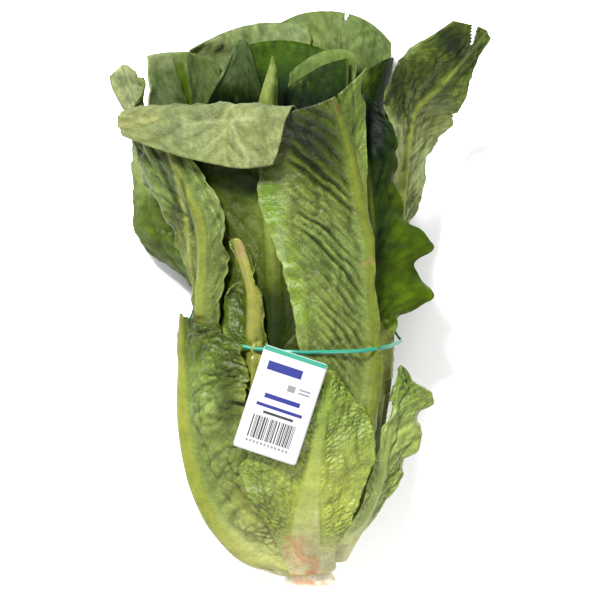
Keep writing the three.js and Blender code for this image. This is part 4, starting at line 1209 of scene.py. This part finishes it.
# ---- tag: a card that lies on the leaves
TAG_STEP = 1.5
TAG_REACH = 50  # degrees to each side of straight up where the leaves can touch the card
TAG_BOW = 0.5
TAG_CORNER = 0.8
TAG_FINE_THICK = 0.45
TAG_GRID = (48, 24)
HALF_W, HALF_L = TAG_WIDTH / 2, TAG_LENGTH / 2
CARD_WHITE, BLUE, GREY, BLACK = seen(244, 245, 246), seen(30, 48, 150), seen(160, 160, 165), seen(52, 52, 58)


def turned(axis, degrees):
    """The matrix of a turn about axis 0, 1 or 2."""
    a, b = (axis + 1) % 3, (axis + 2) % 3
    matrix = np.eye(3)
    matrix[a, a] = matrix[b, b] = math.cos(degrees * DEGREE)
    matrix[b, a] = math.sin(degrees * DEGREE)
    matrix[a, b] = -matrix[b, a]
    return matrix


TAG_FACING = turned(2, TAG_TURN) @ turned(0, TAG_LEAN) @ turned(1, TAG_ROLL)
TAG_PLACE = np.array([TAG_X, TAG_S - REST_S, 0])
over_s = np.arange(TAG_S - TAG_LENGTH, TAG_S + TAG_LENGTH, TAG_STEP)[:, None]
over_s, over_phi = np.broadcast_arrays(over_s, np.arange(-TAG_REACH, TAG_REACH, TAG_STEP) * DEGREE)
under = (point(over_s, over_phi, laid.at(over_s, over_phi)) - TAG_PLACE) @ TAG_FACING
beneath = (np.abs(under[..., 0]) < HALF_W) & (np.abs(under[..., 1]) < HALF_L)
TAG_TOP = under[..., 2][beneath].max() + TAG_CLEAR + TAG_THICK


def tag_point(x, y, z):
    """A point of the card, whose face bows very slightly, from its own x, y and height over its face."""
    bow = -TAG_BOW * (np.abs(x) / HALF_W) ** 2
    return np.stack([x, y, TAG_TOP + z + bow], axis=-1) @ TAG_FACING.T + TAG_PLACE


y = np.linspace(-HALF_L, HALF_L, TAG_GRID[0])[:, None]
t = np.linspace(0, 1, TAG_GRID[1])[None, :]
to_corner = np.maximum(0, TAG_CORNER - np.minimum(y + HALF_L, HALF_L - y))
inset = TAG_CORNER - np.sqrt(np.maximum(0, TAG_CORNER**2 - to_corner**2))
x, y = np.broadcast_arrays((inset - HALF_W) * (1 - t) + (HALF_W - inset) * t, y)
faces = sheet_faces(np.ones((TAG_GRID[0] - 1, TAG_GRID[1] - 1), bool)).tolist()
mesh = make_mesh("fine_tag", np.stack([tag_point(x, y, -TAG_FINE_THICK), tag_point(x, y, 0)]), faces)
place(mesh, plastic("card", CARD_WHITE, 0.5, 700, 0.00005), "tag")

# ---- the card's plain print: x and y of each rule's sides, in mm from the card's middle
PRINT_HEIGHTS = (0.02, 0.06)
PRINT_STEP = 1.5
BARS_HALF = 12.6
BARS_END = 12.0  # no bar starts past it
BAR_WIDTHS, BAR_GAPS = [0.35, 0.35, 0.7, 1.0], [0.35, 0.5, 0.9]
DOT_STEP, DOT_WIDE = 2.1, 1.2

random = np.random.default_rng(17)
bars = []
x = -BARS_HALF
while x < BARS_END:
    wide = float(random.choice(BAR_WIDTHS))
    bars.append((x, min(x + wide, BARS_HALF), -22, -9))
    x += wide + float(random.choice(BAR_GAPS))
dots = [-BARS_HALF + DOT_STEP * k for k in range(12)]
dots = [(x, x + DOT_WIDE, -24.6, -23.2) for x in dots]
PRINT = {
    "print_teal": (TEAL, [(-HALF_W + 0.3, HALF_W - 0.3, HALF_L - 2.8, HALF_L - 0.3)]),
    "print_blue": (BLUE, [(-13.5, 6.5, 17, 22), (-10, 10.5, 1.6, 4.2), (-13, 13.5, -3.6, -1.8)]),
    "print_grey": (GREY, [(1, 5.4, 8.6, 12.2), (7.5, 14, 11, 12), (7.5, 14, 9, 10), *dots]),
    "print_black": (BLACK, [(-8, 9.5, -7, -5.6), *bars]),
}
for name, (colour, rules) in PRINT.items():
    corners, faces = [], []
    for x0, x1, y0, y1 in rules:
        xs = np.linspace(x0, x1, max(2, int((x1 - x0) / PRINT_STEP) + 2))
        faces += (sheet_faces(np.ones((1, len(xs) - 1), bool)) + len(corners)).tolist()
        for z in PRINT_HEIGHTS:
            for y in (y0, y1):
                corners += tag_point(xs, np.full(xs.shape, y), z).tolist()
    mesh = make_mesh(name, np.array(corners), faces, smooth=False)
    place(mesh, plastic(name, colour, 0.5, 700, 0.00003))

# ---- floor, light, camera
FLOOR_HALF = 4000
corners = np.array([(-1, -1, 0), (1, -1, 0), (1, 1, 0), (-1, 1, 0)]) * FLOOR_HALF
floor = shown("floor", make_mesh("floor", corners, [(0, 1, 2, 3)], smooth=False))
material, shader = new_material("floor")
feed(material, shader, {"Base Color": (0.93, 0.93, 0.93, 1), "Roughness": 0.8})
floor.data.materials.append(material)


def area_light(name, where, aim, size, power):
    light = bpy.data.lights.new(name, "AREA")
    light.shape = "DISK"
    light.size = size
    light.energy = power
    lamp = shown(name, light)
    lamp.location = where
    lamp.rotation_euler = (Vector(aim) - Vector(where)).to_track_quat("-Z", "Y").to_euler()


area_light("key", (-0.45, 0.95, 1.25), (0, 0.05, 0.03), 0.4, 62)
area_light("fill", (0.25, -1.0, 0.9), (0, 0.02, 0.03), 0.8, 12)

world = bpy.data.worlds.new("studio")
world.use_nodes = True
feed(world, world.node_tree.nodes["Background"], {"Color": (1, 1, 1, 1), "Strength": 0.76})
bpy.context.scene.world = world
bpy.context.scene.view_settings.view_transform = "Standard"

camera = bpy.data.cameras.new("camera")
camera.lens = 139
camera.sensor_width = 36
camera.clip_end = 10
bpy.context.scene.camera = shown("camera", camera)
bpy.context.scene.camera.location = (0.0046, 0.060, 1.39)
